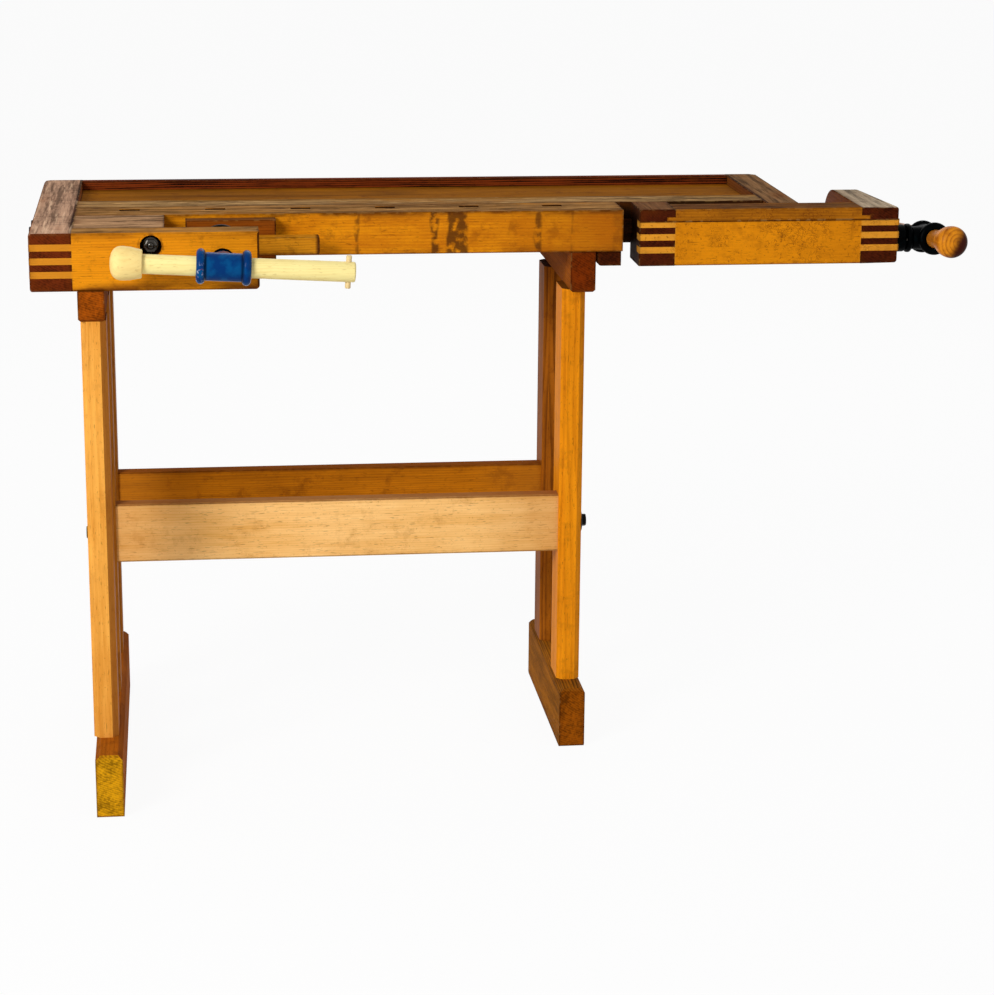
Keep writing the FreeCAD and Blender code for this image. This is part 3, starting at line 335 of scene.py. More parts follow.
def soaked_top(wood, colour, top):
    """Pale and oil-brown streaks, longer and fainter on the boards that run front to back."""
    squeeze, strength = (0.2, 0.75) if wood.axis == AXES["x"] else (0.05, 0.4)
    worn = wood.noise(wood.grained(squeeze, 7.0), 120.0, 4.0, 0.65)
    rubbed = wood.times(wood.up, wood.soft(worn, 0.46, 0.34), 0.45)
    colour = wood.mix(rubbed, colour, paint(top, PALE))
    oily = wood.times(wood.soft(worn, 0.53, 0.64), wood.soft(wood.blotch, 0.4, 0.58))
    return wood.stain_and_shade(colour, "#2A1608", wood.times(wood.up, oily), strength)


print("sides, ends and top ready")

# %% [markdown]
# Every arris shows three marks: a wide margin of painted shade, a thin dark line of dirt and painted shade,
# and spots rubbed bright. All three come from the distance to the nearest edge of the board's box, so no edge
# is painted by hand.

# %% Arrises, and the whole recipe
ARRIS = 0.0026


def worn_and_shaded_arrises(wood, colour, stain_and_shade, edge_shade, grime_and_shade, rub):
    """The colour with its arrises worn and shaded, and the mask of the thin dark line of dirt and painted
    shade, which is also rougher.
    """
    arris = wood.nearest_arris()
    ragged = wood.noise(wood.place, 110.0, 4.0)
    margin = min(0.016, 0.3 * min(high - low for low, high in zip(wood.low, wood.high)))
    shaded = wood.soft(wood.noise(wood.grained(0.35), 30.0, 4.0), 0.36, 0.7)
    # A wide margin along each arris is painted shade, in patches.
    colour = wood.stain_and_shade(colour, stain_and_shade, wood.times(wood.soft(arris, margin, 0.0), shaded), edge_shade)
    # A thin dark line along each arris: dirt and painted shade.
    dirt_and_shade = wood.times(wood.soft(arris, 0.0045, 0.0), wood.soft(ragged, 0.42, 0.7))
    dirt_and_shade = wood.larger(dirt_and_shade, wood.times(wood.soft(arris, ARRIS, 0.0009), 0.85))
    colour = wood.stain_and_shade(colour, "#2A0E03", dirt_and_shade, grime_and_shade)
    rubbed = wood.times(wood.soft(arris, ARRIS, 0.0), wood.soft(ragged, 0.5, 0.4))
    return wood.stain_and_shade(colour, "#F2C070", rubbed, rub), dirt_and_shade


def beech(piece, grain, light, dark, end, pith=(0.05, 0.11), figure=0.3, streaks=1.0, grime_and_shade=0.6, rub=0.12,
          shine=0.55, edge_shade=0.45, top=None, stained=0.45, stain_and_shade="#5E2A06", marks=None):
    """Oiled beech for one board. top is the colour of a worn upper face, and marks adds its own stains and
    painted shade.
    """
    wood = Board(piece, grain, pith)
    cut = wood.soft(wood.math("ABSOLUTE", wood.facing[wood.axis]), 0.55, 0.8)
    scratch = scratches(wood)
    colour = open_ends(wood, oiled_sides(wood, light, dark, figure, streaks, stained, stain_and_shade), cut, end)
    if top:
        colour = greyed_top(wood, colour, top, scratch)
    if marks:
        colour = marks(wood, colour)
    if top:
        colour = soaked_top(wood, colour, top)
    colour, dirt_and_shade = worn_and_shaded_arrises(wood, colour, stain_and_shade, edge_shade, grime_and_shade, rub)
    height = wood.minus(wood.times(wood.fibre, 0.5), wood.times(wood.fleck, 0.5))
    height = wood.minus(height, wood.times(scratch, wood.up, 0.9))
    height = wood.minus(height, wood.times(wood.plus(wood.late, wood.specks), 0.25))
    dry = wood.larger(wood.larger(cut, dirt_and_shade), wood.up)
    rough = wood.plus(wood.times(wood.streak, 0.16), shine - 0.08)
    return wood.finish(colour, wood.plus(rough, wood.times(dry, 0.4)), height)


print("beech recipe ready")

# %% [markdown]
# The front strip has taken the most. Drips have left smears on its front: each is a band along X, measured
# from the left end, with its edges made ragged by noise. It is stained along its upper arris, and painted
# darker to the right as shade. The dog holes, and the end that the tail vise closes on, are painted black as
# shade.

# %% Marks of the front strip
# How thick the painted shade lies.
SHADE_STRENGTH = 0.93
SMEARS = ((0.524, 0.537, 0.85), (0.549, 0.579, 0.85), (0.681, 0.692, 0.75), (0.411, 0.418, 0.65),
          (0.736, 0.741, 0.4), (0.799, 0.822, 0.25))
HOLE_ROW = (0.0412, 0.0588)           # front and back of the row of dog holes, from the strip's front


def painted_shade(wood, colour, mask, code="#160803"):
    """Painted shade, nearly black: in holes, in slots and gaps, behind the vise and on faces turned from the
    lamps.
    """
    return wood.stain_and_shade(colour, code, mask, SHADE_STRENGTH)


def smeared(wood, colour):
    """Smears, each with its start, its end and its strength, over a faint mottle."""
    x = wood.minus(wood.x, wood.low[0])
    x = wood.plus(x, wood.spread(wood.noise(wood.stretched(2, 0.25), 130.0), 0.5, 0.012))
    front = wood.toward("-y")
    patches = wood.soft(wood.noise(wood.place, 85.0, 4.0), 0.32, 0.54)
    mottle = wood.soft(wood.noise(wood.stretched(0, 0.5), 30.0, 6.0, 0.7), 0.42, 0.62)
    colour = wood.stain_and_shade(colour, "#A85604", wood.times(mottle, front), 0.35)
    for start, end, strength in SMEARS:
        smear = wood.band(x, start, end, 0.002, 0.003)
        colour = wood.stain_and_shade(colour, "#4A2608", wood.times(smear, front, patches), strength)
    return colour


def strip_wear_and_shade(wood, colour):
    left, right, front, top = wood.low[0], wood.high[0], wood.low[1], wood.high[2]
    # Painted shade inside the dog holes and on the end that faces the tail vise.
    row = wood.band(wood.y, front + HOLE_ROW[0], front + HOLE_ROW[1], 0.0, 0.0006)
    hole_shade = wood.times(row, wood.soft(wood.z, top - 0.0002, top - 0.0010))
    end = wood.soft(wood.times(wood.facing[0], wood.soft(wood.x, right - 0.01, right)), 0.5, 0.8)
    # Painted shade: the front grows darker to the right.
    right_shade = wood.times(wood.soft(wood.x, left + 0.56, right), wood.toward("-y"))
    colour = smeared(wood, wood.stain_and_shade(colour, "#843E06", right_shade, 0.5))
    edge = wood.times(wood.soft(wood.z, top - 0.009, top - 0.001), wood.toward("-y", 0.4))
    edge = wood.times(edge, wood.soft(wood.noise(wood.stretched(0, 0.4), 60.0, 4.0), 0.38, 0.6))
    colour = wood.stain_and_shade(colour, "#4A2206", edge, 0.75)
    return painted_shade(wood, colour, wood.larger(hole_shade, end))


print(len(SMEARS), "smears on the front strip")

# %% [markdown]
# The rest of the top is quieter. The core strip is golden beside the tray, where hands reach in, and painted
# black as shade where the front strip leaves it open to the vise. Beside each cap, painted shade marks the
# gap where the long boards end.

# %% Marks of the core strip and the caps
# The gap beside each cap is painted shade.
GAP = (0.0048, 0.0026)                # the gap fades out at the first, and is black within the second


def core_wear_and_shade(wood, colour):
    golden = wood.times(wood.up, wood.soft(wood.y, wood.low[1] + 0.028, wood.high[1] - 0.004))
    golden = wood.times(golden, wood.soft(wood.noise(wood.stretched(0, 0.2), 24.0, 3.0), 0.3, 0.6))
    colour = wood.stain_and_shade(colour, "#966414", golden, 0.75)
    # Painted shade on the front face, where the front strip leaves it open to the vise.
    return painted_shade(wood, colour, wood.toward("-y"))


def seam(wood, colour, edge):
    away = wood.math("ABSOLUTE", wood.minus(wood.x, edge))
    broken = wood.soft(wood.noise(wood.place, 60.0, 3.0), 0.24, 0.36)
    # Painted shade in the gap beside the cap.
    return painted_shade(wood, colour, wood.times(wood.soft(away, *GAP), wood.up, broken), "#140803")


def left_cap_seam(wood, colour):
    return seam(wood, colour, wood.high[0])


def right_cap_seam(wood, colour):
    return seam(wood, colour, wood.low[0])


print("gap beside each cap:", GAP[0] * 1000, "mm")

# %% [markdown]
# On the arm and on the tail vise, the tips of the finger joints catch the light. The arm's front is darker
# along its lower edge, and its right end and the recess for its bolt are painted in shade. A recess has no
# edge that a noise could find, so its mask is the distance from the bolt's own axis, read from the frame.

# %% Marks of the shoulder vise
RECESS = (0.0162, 0.0157)             # the recess starts to darken, and is dark, this far from the bolt
RECESS_START = 0.001                  # and this deep


def node_middle(name):
    low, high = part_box(name)
    return (Vector(low) + Vector(high)) / 2


def arm_marks_and_shade(wood, colour):
    low = wood.low
    lower = wood.times(wood.soft(wood.z, low[2] + 0.017, low[2] + 0.002), wood.toward("-y"))
    lower = wood.times(lower, wood.soft(wood.noise(wood.stretched(0, 0.3), 45.0, 4.0), 0.34, 0.56))
    colour = wood.stain_and_shade(colour, "#5A2606", lower, 0.85)
    past_cap = wood.minus(wood.x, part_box("left_end_cap")[1][0])
    colour = wood.stain_and_shade(colour, "#BE7A20", wood.soft(past_cap, 0.002, -0.004), 0.75)
    bolt_middle = node_middle("arm_bolt")
    aside = wood.distance(wood.minus(wood.x, bolt_middle.x), wood.minus(wood.z, bolt_middle.z))
    # Painted shade in the bolt's recess.
    recess_shade = wood.times(wood.soft(aside, *RECESS), wood.soft(wood.y, low[1], low[1] + RECESS_START))
    colour = painted_shade(wood, colour, recess_shade)
    lip = wood.times(wood.soft(aside, 0.021, 0.0165), wood.soft(wood.noise(wood.place, 120.0), 0.4, 0.6))
    colour = wood.stain_and_shade(colour, "#4A2208", lip, 0.6)
    # Painted shade on the right end, which is turned from the key lamp.
    return painted_shade(wood, colour, wood.toward("+x"), "#3A1406")


def bar_end(wood, colour):
    """The guide bar's free end is painted dark as shade."""
    end = wood.high[0]
    return painted_shade(wood, colour, wood.soft(wood.x, end - 0.008, end - 0.002), "#4A2206")


print("the arm's bolt has its middle at", tuple(node_middle("arm_bolt")))

# %% [markdown]
# The tail vise's front board is varnished, and old varnish breaks into a fine dark network. The middle values
# of a rough noise make such lines. The jaw face that closes on the work is painted black as shade.

# %% Marks of the tail vise
TONGUE = 0.013                        # how far the cover reaches into the blocks at its ends


def jaw_side(wood, colour):
    # Painted shade on the jaw's face that looks into the gap at the end of the top.
    return painted_shade(wood, colour, wood.toward("-x"), "#1C0C05")


def cracked_varnish(wood, colour):
    cracks = wood.math("ABSOLUTE", wood.minus(wood.noise(wood.place, 40.0, 6.0, 0.78), 0.5))
    cracks = wood.times(wood.soft(cracks, 0.018, 0.002), wood.soft(wood.noise(wood.place, 14.0), 0.45, 0.56))
    specks = wood.soft(wood.noise(wood.place, 210.0), 0.6, 0.7)
    cloud = wood.times(wood.soft(wood.noise(wood.place, 40.0, 5.0, 0.65), 0.5, 0.7), 0.5)
    colour = wood.stain_and_shade(colour, "#7A3E06", wood.larger(specks, cloud), 0.6)
    return wood.stain_and_shade(colour, "#5A2204", cracks, 0.8)


def front_board_wear_and_shade(wood, colour):
    """Bright finger tips beyond both shoulders of the cover, and a dark line of painted shade under it."""
    cover_low, cover_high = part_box("tail_top_cover")
    left = wood.soft(wood.minus(wood.x, cover_low[0] + TONGUE), 0.002, -0.002)
    right = wood.soft(wood.minus(wood.x, cover_high[0] - TONGUE), -0.002, 0.002)
    colour = wood.stain_and_shade(colour, "#DE9A34", wood.larger(left, right), 0.6)
    colour = cracked_varnish(wood, colour)
    upper = wood.high[2]
    # Painted shade: a dark line under the cover.
    shade_line = wood.times(wood.soft(wood.z, upper - 0.0024, upper - 0.0012), wood.toward("-y"))
    return painted_shade(wood, colour, shade_line, "#3A1404")


print("the cover's tongues are", TONGUE * 1000, "mm long")

# %% [markdown]
# Nobody works on the trestles, so they keep more of their pale colour. The side of the left leg that looks
# under the bench is painted darker as shade, the stretchers are painted darker towards their ends as shade,
# and they are brown on top. Only the facing and the place along X are needed.

# %% Marks of the trestles
DARK_ENDS = 0.15                      # a stretcher darkens over this length


def shaded_inner_side(wood, colour):
    # Painted shade on the face turned from the key lamp.
    return wood.stain_and_shade(colour, "#984E0E", wood.toward("+x"), 0.85)


def stretcher_shade_and_top(wood, colour):
    left, right = wood.low[0], wood.high[0]
    x = wood.plus(wood.x, wood.spread(wood.noise(wood.place, 14.0), 0.5, 0.12))
    # Painted shade towards both ends.
    left_end = wood.soft(x, left + DARK_ENDS, left + 0.03)
    right_end = wood.soft(x, right - DARK_ENDS, right - 0.03)
    colour = wood.stain_and_shade(colour, "#B06A1C", wood.larger(left_end, right_end), 0.4)
    return wood.stain_and_shade(colour, "#84420E", wood.toward("+z"), 0.75)


print("stretchers darken over", DARK_ENDS, "m")

# %% [markdown]
# Every board has its own tree, so every board has its own colours: the early wood, the late wood and the
# ends. Most ends are darker, because open grain drinks more oil. Caps, rails and feet run front to back,
# so it is their ends that face the viewer. A table is the plainest way to set so many colours side by
# side and tune them.

# %% Boards and their colours
BOARDS = {
    "dog_strip": ("x", "#E28E0C", "#B06008", "#5E2C14"),
    "core_strip": ("x", "#B06C14", "#74440C", "#5E2C14"),
    "tray_floor": ("x", "#9A5C06", "#603604", "#4E300C"),
    "back_board": ("x", "#7A320D", "#0E0201", "#1E0602"),
    "left_end_cap": ("y", "#8A4A1C", "#5A280E", "#64260A"),
    "right_end_cap": ("y", "#7E4618", "#4E280E", "#521E0A"),
    "spacer_block": ("x", "#8E5626", "#5E3212", "#421608"),
    "shoulder_arm": ("x", "#E28E10", "#B06408", "#4E2008"),
    "shoulder_jaw": ("x", "#8E480A", "#542404", "#4A220A"),
    "jaw_guide_bar": ("x", "#DA9018", "#9A580A", "#6A3A0C"),
    "tail_jaw_block": ("y", "#6A340E", "#3A1604", "#4A1A08"),
    "tail_front_board": ("x", "#E08A0A", "#AE6406", "#7A4610"),
    "tail_top_cover": ("x", "#B46C0E", "#784206", "#5A2E0A"),
    "tail_end_block": ("y", "#7A3E10", "#4A2008", "#4A1A08"),
    "fixed_jaw_block": ("y", "#5E3010", "#341606", "#461A06"),
    "left_front_leg": ("z", "#F2AC4C", "#CC7E24", "#8A5416"),
    # The middle and rear legs have darker colours than the front ones: painted shade.
    "left_middle_leg": ("z", "#B87020", "#804A0E", "#8A5416"),
    "left_rear_leg": ("z", "#B06A1A", "#7A460C", "#8A5416"),
    "right_front_leg": ("z", "#EE9210", "#BE6A06", "#8A5416"),
    "right_rear_leg": ("z", "#A85E10", "#663406", "#5E3408"),
    "left_top_rail": ("y", "#94500E", "#5E2A08", "#A04C08"),
    "right_top_rail": ("y", "#A65A10", "#6A360A", "#742C04"),
    "left_foot": ("y", "#B06010", "#7A3E08", "#DA9A10"),
    "right_foot": ("y", "#A86612", "#50300A", "#984E06"),
    "front_stretcher": ("x", "#FFCC84", "#E2A452", "#A06A20"),
    # The rear stretcher's darker colours are partly its own and partly painted shade.
    "rear_stretcher": ("x", "#C4760C", "#864A06", "#7A4A10"),
    "tail_guide_bar": ("x", "#B07A28", "#805014", "#7A4A14"),
    "guide_keeper": ("y", "#A06A2A", "#704418", "#6A3E12"),
    "slide_runner": ("x", "#3A200C", "#180A04", "#1E0E06"),
    "top_dowels": ("z", "#D8A860", "#B07C38", "#A87838"),
}
print(len(BOARDS), "boards have colours")

# %% [markdown]
# A second table holds what only some boards have: the colour of a worn top, marks of their own, stronger
# or weaker streaks, and where their pith lies.

# %% Dress the boards
CHARACTER = {
    "dog_strip": dict(top="#A07644", marks=strip_wear_and_shade, pith=(0.02, 0.09)),
    "core_strip": dict(top="#B28C5A", marks=core_wear_and_shade, pith=(0.03, 0.14)),
    "tray_floor": dict(pith=(0.3, 0.05), rub=0.0, streaks=1.8),
    "back_board": dict(figure=1.3, streaks=3.6, rub=0.03),
    "left_end_cap": dict(top="#CEA486", marks=left_cap_seam),
    "right_end_cap": dict(top="#906A44", marks=right_cap_seam),
    "spacer_block": dict(top="#B88E66"),
    "shoulder_arm": dict(top="#A27844", marks=arm_marks_and_shade, pith=(0.03, 0.1)),
    "shoulder_jaw": dict(top="#82501E"),
    "jaw_guide_bar": dict(marks=bar_end),
    "tail_jaw_block": dict(top="#7A5230", marks=jaw_side),
    "tail_front_board": dict(marks=front_board_wear_and_shade, pith=(0.09, 0.03), figure=0.1, streaks=0.4, edge_shade=0.12),
    "tail_top_cover": dict(top="#6A4420", marks=cracked_varnish, edge_shade=0.05, grime_and_shade=0.25),
    "tail_end_block": dict(top="#C4B094"),
    "left_front_leg": dict(marks=shaded_inner_side, figure=0.2, stained=0.15, grime_and_shade=0.55, edge_shade=0.3),
    "right_front_leg": dict(stained=0.25, edge_shade=0.25),
    "right_rear_leg": dict(figure=0.7),
    "left_top_rail": dict(shine=0.85),
    "right_top_rail": dict(shine=0.85),
    "left_foot": dict(shine=0.8),
    "right_foot": dict(shine=0.8, streaks=1.8, figure=0.6),
    "front_stretcher": dict(marks=stretcher_shade_and_top, figure=0.2, stained=0.3, stain_and_shade="#A86A20", edge_shade=0.3),
    "rear_stretcher": dict(marks=stretcher_shade_and_top),
    "slide_runner": dict(rub=0.0),
}
for board, look in BOARDS.items():
    dress(board, beech(board, *look, **CHARACTER.get(board, {})))
print(len(CHARACTER), "of", len(BOARDS), "boards have a character of their own")

# %% [markdown]
# Bolts and screws are steel, and the collar, the ring and the tail hub are painted iron. Bare metal goes
# dark and uneven where hands and oil have been. A noise in the roughness does more for metal than one in
# its colour does.

# %% Iron, paint and steel
def iron(name, colour, worn, metal, rough, wear, gloss=0.5):
    surface = Finish(name, gloss)
    surface.shader.inputs["Metallic"].default_value = metal
    patch = surface.noise(surface.place, 95.0, 4.0)
    fine = surface.noise(surface.place, 620.0)
    shade = surface.mix(patch, paint(colour), paint(colour, 0.55))
    shade = surface.stain_and_shade(shade, worn, surface.soft(patch, 0.56, 0.68), wear)
    rough = surface.plus(surface.times(patch, 0.3), rough - 0.12)
    return surface.finish(shade, rough, fine, 0.25, 0.0003)


black_bolt = iron("black_bolt", "#12100E", "#2E241C", metal=0.6, rough=0.5, wear=0.3, gloss=0.1)
zinc = iron("zinc", "#45423E", "#6A6258", metal=1.0, rough=0.2, wear=0.4)
bright_screw = iron("bright_screw", "#8C8A86", "#4A3A2C", metal=1.0, rough=0.3, wear=0.5)
black_paint = iron("black_paint", "#010203", "#041216", metal=0.0, rough=0.35, wear=0.3, gloss=0.015)
METALS = {"black_bolt_steel": black_bolt, "zinc_steel": zinc, "screw_steel": bright_screw,
          "black_painted_iron": black_paint}
metal_nodes = [node for node in nodes if node not in BOARDS and slot_of[node] in METALS]
for node in metal_nodes:
    dress(node, METALS[slot_of[node]])
print(len(metal_nodes), "metal nodes dressed")

# %% [markdown]
# The shoulder vise's hub is enamelled blue, with painted shade in the grooves where its flanges meet the
# waist, and chipped on one flange where it has been knocked. To paint there, the finish needs to know where
# the hub's own axis is, so a Mapping node brings each point into the hub's frame.

# %% Blue enamel
MM = 0.001
HANDLE_TILT = 3.0
TAIL_TILT = 6.2
FLANGE_RADIUS = 25.0

shoulder_centre = node_middle("shoulder_hub")
shoulder_centre.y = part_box("shoulder_hub")[0][1] + FLANGE_RADIUS * MM
tail_centre = node_middle("tail_hub")
tail_centre.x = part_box("tail_hub")[1][0] - FLANGE_RADIUS * MM
AT_SHOULDER = Matrix.Translation(shoulder_centre) @ turn(HANDLE_TILT, "Y")
AT_TAIL = Matrix.Translation(tail_centre) @ turn(-TAIL_TILT, "X") @ turn(90, "Z")


def enamel(name, colour, highlight, frame_of_hub):
    coat = Finish(name, 0.05)
    place, rotation, _ = frame_of_hub.decompose()
    inputs = {"Vector": coat.place, "Location": place, "Rotation": rotation.to_euler()}
    local = coat.add("ShaderNodeMapping", inputs, vector_type="TEXTURE").outputs[0]
    along = coat.split(local)[0]
    far = coat.math("ABSOLUTE", along)
    patch = coat.noise(coat.place, 60.0)
    shade = coat.mix(coat.soft(patch, 0.4, 0.62), paint(colour), paint(highlight))
    # Painted shade in the grooves where the flanges meet the waist.
    groove_shade = coat.times(coat.soft(far, 0.0225, 0.0255), coat.soft(far, 0.0300, 0.0265))
    shade = coat.stain_and_shade(shade, "#000E26", groove_shade, 0.75)
    rim = coat.times(coat.soft(along, -0.027, -0.032), coat.soft(patch, 0.42, 0.5))
    chips = coat.times(coat.soft(coat.noise(coat.place, 200.0), 0.56, 0.6), rim)
    primer = coat.mix(coat.soft(coat.noise(coat.place, 70.0), 0.45, 0.55), paint("#6E2432"), paint("#8E9CB4"))
    rough = coat.plus(coat.times(chips, 0.35), 0.2)
    height = coat.minus(coat.times(patch, 0.6), coat.times(chips, 0.8))
    return coat.finish(coat.mix(chips, shade, primer), rough, height)


blue_enamel = enamel("blue_enamel", "#003068", "#01467A", AT_SHOULDER)
print("shoulder hub at", tuple(shoulder_centre), "tail hub at", tuple(tail_centre))

# %% [markdown]
# The handles are turned from beech and polished by hands. They are round, so no box gives their arrises, and
# this finish is simpler: streaks and flecks along the bar, and rings round the pith on the knob's end. The
# tail vise's knob is painted darker on its right and lower side, as shade.

# %% Turned beech
def turned_beech(name, grain, light, dark, centre, pith, gap=0.0028, figure=0.3, shaded=None):
    """Turned wood. The last argument is the distance right of the centre past which the wood is painted in
    shade.
    """
    wood = Finish(name, 0.05)
    axis = AXES[grain]
    across = [i for i in range(3) if i != axis]
    sides = [wood.minus(wood.places[i], centre[i] + offset) for i, offset in zip(across, pith)]
    age = wood.math("DIVIDE", wood.distance(*sides), gap)
    late = wood.soft(wood.math("FRACT", wood.plus(age, wood.noise(wood.place, 30.0, 2.0))), 0.35, 0.95)
    streak = wood.noise(wood.stretched(axis, 0.05, 3.0), 160.0)
    blotch = wood.noise(wood.place, 26.0)
    tone = wood.plus(wood.times(late, figure), wood.spread(streak, 0.4, 0.9))
    tone = wood.plus(tone, wood.spread(blotch, 0.5, 0.8), clamp=True)
    fleck = wood.soft(wood.noise(wood.stretched(axis, 0.14, 5.0), 700.0, 1.0), 0.64, 0.72)
    colour = wood.stain_and_shade(wood.mix(tone, paint(light), paint(dark)), "#A87838", fleck, 0.3)
    if shaded is not None:
        # Painted shade on the right and lower side.
        right = wood.plus(wood.minus(wood.x, centre[0]), wood.spread(blotch, 0.5, 0.03))
        right = wood.plus(right, wood.times(wood.minus(centre[2], wood.z), 0.4))
        colour = wood.mix(wood.soft(right, shaded - 0.008, shaded + 0.012), colour, paint("#3A1206"))
    height = wood.minus(wood.times(streak, 0.5), wood.times(fleck, 0.4))
    return wood.finish(colour, wood.plus(wood.times(streak, 0.15), 0.3), height, 0.2, 0.0003)


BAR_PITH = (0.004, 0.009)
knob_middle = node_middle("tail_knob")
pale_handle = turned_beech("pale_handle", "x", "#F5E39A", "#E2C06E", shoulder_centre, BAR_PITH,
                           figure=0.25)
pale_knob = turned_beech("pale_knob", "x", "#F2D68C", "#E4BA68", shoulder_centre, (0.005, -0.006),
                         figure=0.12)
tail_handle_wood = turned_beech("tail_handle_wood", "y", "#B06A1C", "#70360C", tail_centre, BAR_PITH)
tail_knob_wood = turned_beech("tail_knob_wood", "y", "#DC881A", "#6A2208", knob_middle, (0.006, 0.001),
                              gap=0.0056, figure=0.4, shaded=-0.001)
pin_wood = turned_beech("pin_wood", "z", "#E8D09A", "#B88E50", shoulder_centre, (0.05, 0.0))
print("the tail knob's middle is at", tuple(knob_middle))

# %% [markdown]
# A hub, a knob and a handle are all turned shapes: half an outline, swung round an axis. `bmesh.ops.spin`
# does just that. The outline lies in the XY plane with X along the axis, and arcs in it make the rounded
# parts. A cylinder primitive would give the hub straight sides and no rounded flanges.

# %% Spun pieces
def spun(profile, steps, closed=False):
    """A bmesh turned about X from (along, radius) points in millimetres."""
    shape = bmesh.new()
    points = [shape.verts.new((along * MM, radius * MM, 0)) for along, radius in profile]
    pairs = list(zip(points, points[1:])) + ([(points[-1], points[0])] if closed else [])
    edges = [shape.edges.new(pair) for pair in pairs]
    bmesh.ops.spin(shape, geom=points + edges, cent=(0, 0, 0), axis=(1, 0, 0), angle=2 * math.pi, steps=steps,
                   use_merge=True)
    bmesh.ops.remove_doubles(shape, verts=shape.verts, dist=1e-6)
    bmesh.ops.recalc_face_normals(shape, faces=shape.faces)
    return shape


def arc(centre, radius, start, end, count):
    """Points of an arc in (along, radius) terms, for a rounded stretch of a profile."""
    angles = [math.radians(start + (end - start) * i / count) for i in range(count + 1)]
    return [(centre[0] + radius * math.cos(a), centre[1] + radius * math.sin(a)) for a in angles]


print("a quarter arc of five steps has", len(arc((0, 0), 1, 0, 90, 5)), "points")

# %% [markdown]
# A finished piece has its object at the origin and its place in its mesh. It stands for a CAD node, which it
# hides, rides on that node's body and gets the finish it is given. Several shells can be one piece, since
# each stays closed by itself, and joining them is simpler than a boolean union and leaves clean faces.

# %% Placing and joining
def placed(shape, matrix, name, node, material, smooth=32.0):
    bmesh.ops.transform(shape, matrix=matrix, verts=shape.verts)
    mesh = bpy.data.meshes.new(name)
    shape.to_mesh(mesh)
    shape.free()
    mesh.shade_smooth()
    mesh.set_sharp_from_angle(angle=math.radians(smooth))
    mesh.materials.append(material)
    piece = bpy.data.objects.new(name, mesh)
    bpy.context.scene.collection.objects.link(piece)
    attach(piece, body_of[node])
    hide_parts(node)
    print(name, len(mesh.polygons), "faces")


def joined(parts):
    whole = bmesh.new()
    for part in parts:
        shell = bpy.data.meshes.new("part")
        part.to_mesh(shell)
        part.free()
        whole.from_mesh(shell)
        bpy.data.meshes.remove(shell)
    return whole


def moved(shape, matrix):
    bmesh.ops.transform(shape, matrix=matrix, verts=shape.verts)
    return shape


def along_x(distance):
    return Matrix.Translation((distance * MM, 0, 0))


print("a step along X:", tuple(along_x(10.0).translation))

# %% [markdown]
# The hub is a spool with a hole right through it and a neck on one side for the screw. The neck has to
# meet the round spool without filling the hole, so its base is a disc of rings pressed onto the curve of
# the spool's wall.

# %% Hubs
BORE = 14.9
BEAD = 6.5
HUB_PROFILE = (arc((-32.0, 18.5), BEAD, 180, 14, 12) + arc((32.0, 18.5), BEAD, 166, 0, 12)
               + [(38.5, BORE), (-38.5, BORE)])
NECK_BASE = 18.9
NECK_END = 17.4
NECK_EASE = 1.6
WALL_MIDDLE = 17.4
BASE_RINGS = 5
RING_WIDTH = 3.1


def neck_shape(length):
    neck = bmesh.new()
    bmesh.ops.create_circle(neck, cap_ends=True, radius=NECK_BASE * MM, segments=48)
    for ring in range(BASE_RINGS):
        inner = [face for face in neck.faces if len(face.verts) > 4]
        bmesh.ops.inset_region(neck, faces=inner, thickness=RING_WIDTH * MM, use_boundary=True)
    bmesh.ops.rotate(neck, verts=neck.verts, matrix=Matrix.Rotation(math.radians(-90), 3, "X"))
    for point in neck.verts:
        point.co.y = math.sqrt(max(0.0, (WALL_MIDDLE * MM) ** 2 - point.co.z ** 2))
    outline = [edge for edge in neck.edges if edge.is_boundary]
    raised = bmesh.ops.extrude_edge_only(neck, edges=outline)["geom"]
    share = NECK_END / NECK_BASE
    for point in raised:
        if isinstance(point, bmesh.types.BMVert):
            point.co = Vector((point.co.x * share, length * MM, point.co.z * share))
    end = bmesh.ops.contextual_create(neck, geom=[edge for edge in neck.edges if edge.is_boundary])["faces"]
    end_edges = [edge for face in end for edge in face.edges]
    bmesh.ops.bevel(neck, geom=end_edges, offset=NECK_EASE * MM, segments=3, profile=0.5, affect="EDGES",
                    material=-1)
    bmesh.ops.recalc_face_normals(neck, faces=neck.faces)
    return neck


for length, at, side, material in ((34.0, AT_SHOULDER, "shoulder", blue_enamel),
                                   (28.0, AT_TAIL, "tail", black_paint)):
    casting_shape = joined([spun(HUB_PROFILE, 64, closed=True), neck_shape(length)])
    placed(casting_shape, at, side + "_hub_casting", side + "_hub", material)

# %% [markdown]
# The bar thickens a little away from the knob, and its free end is eased. The knob is a bullet: a long
# dome, a straight part, and a rounded shoulder with a socket that the bar is glued into. A thin pin stops
# the bar at its free end. Both vises have the same set, so one loop makes them.

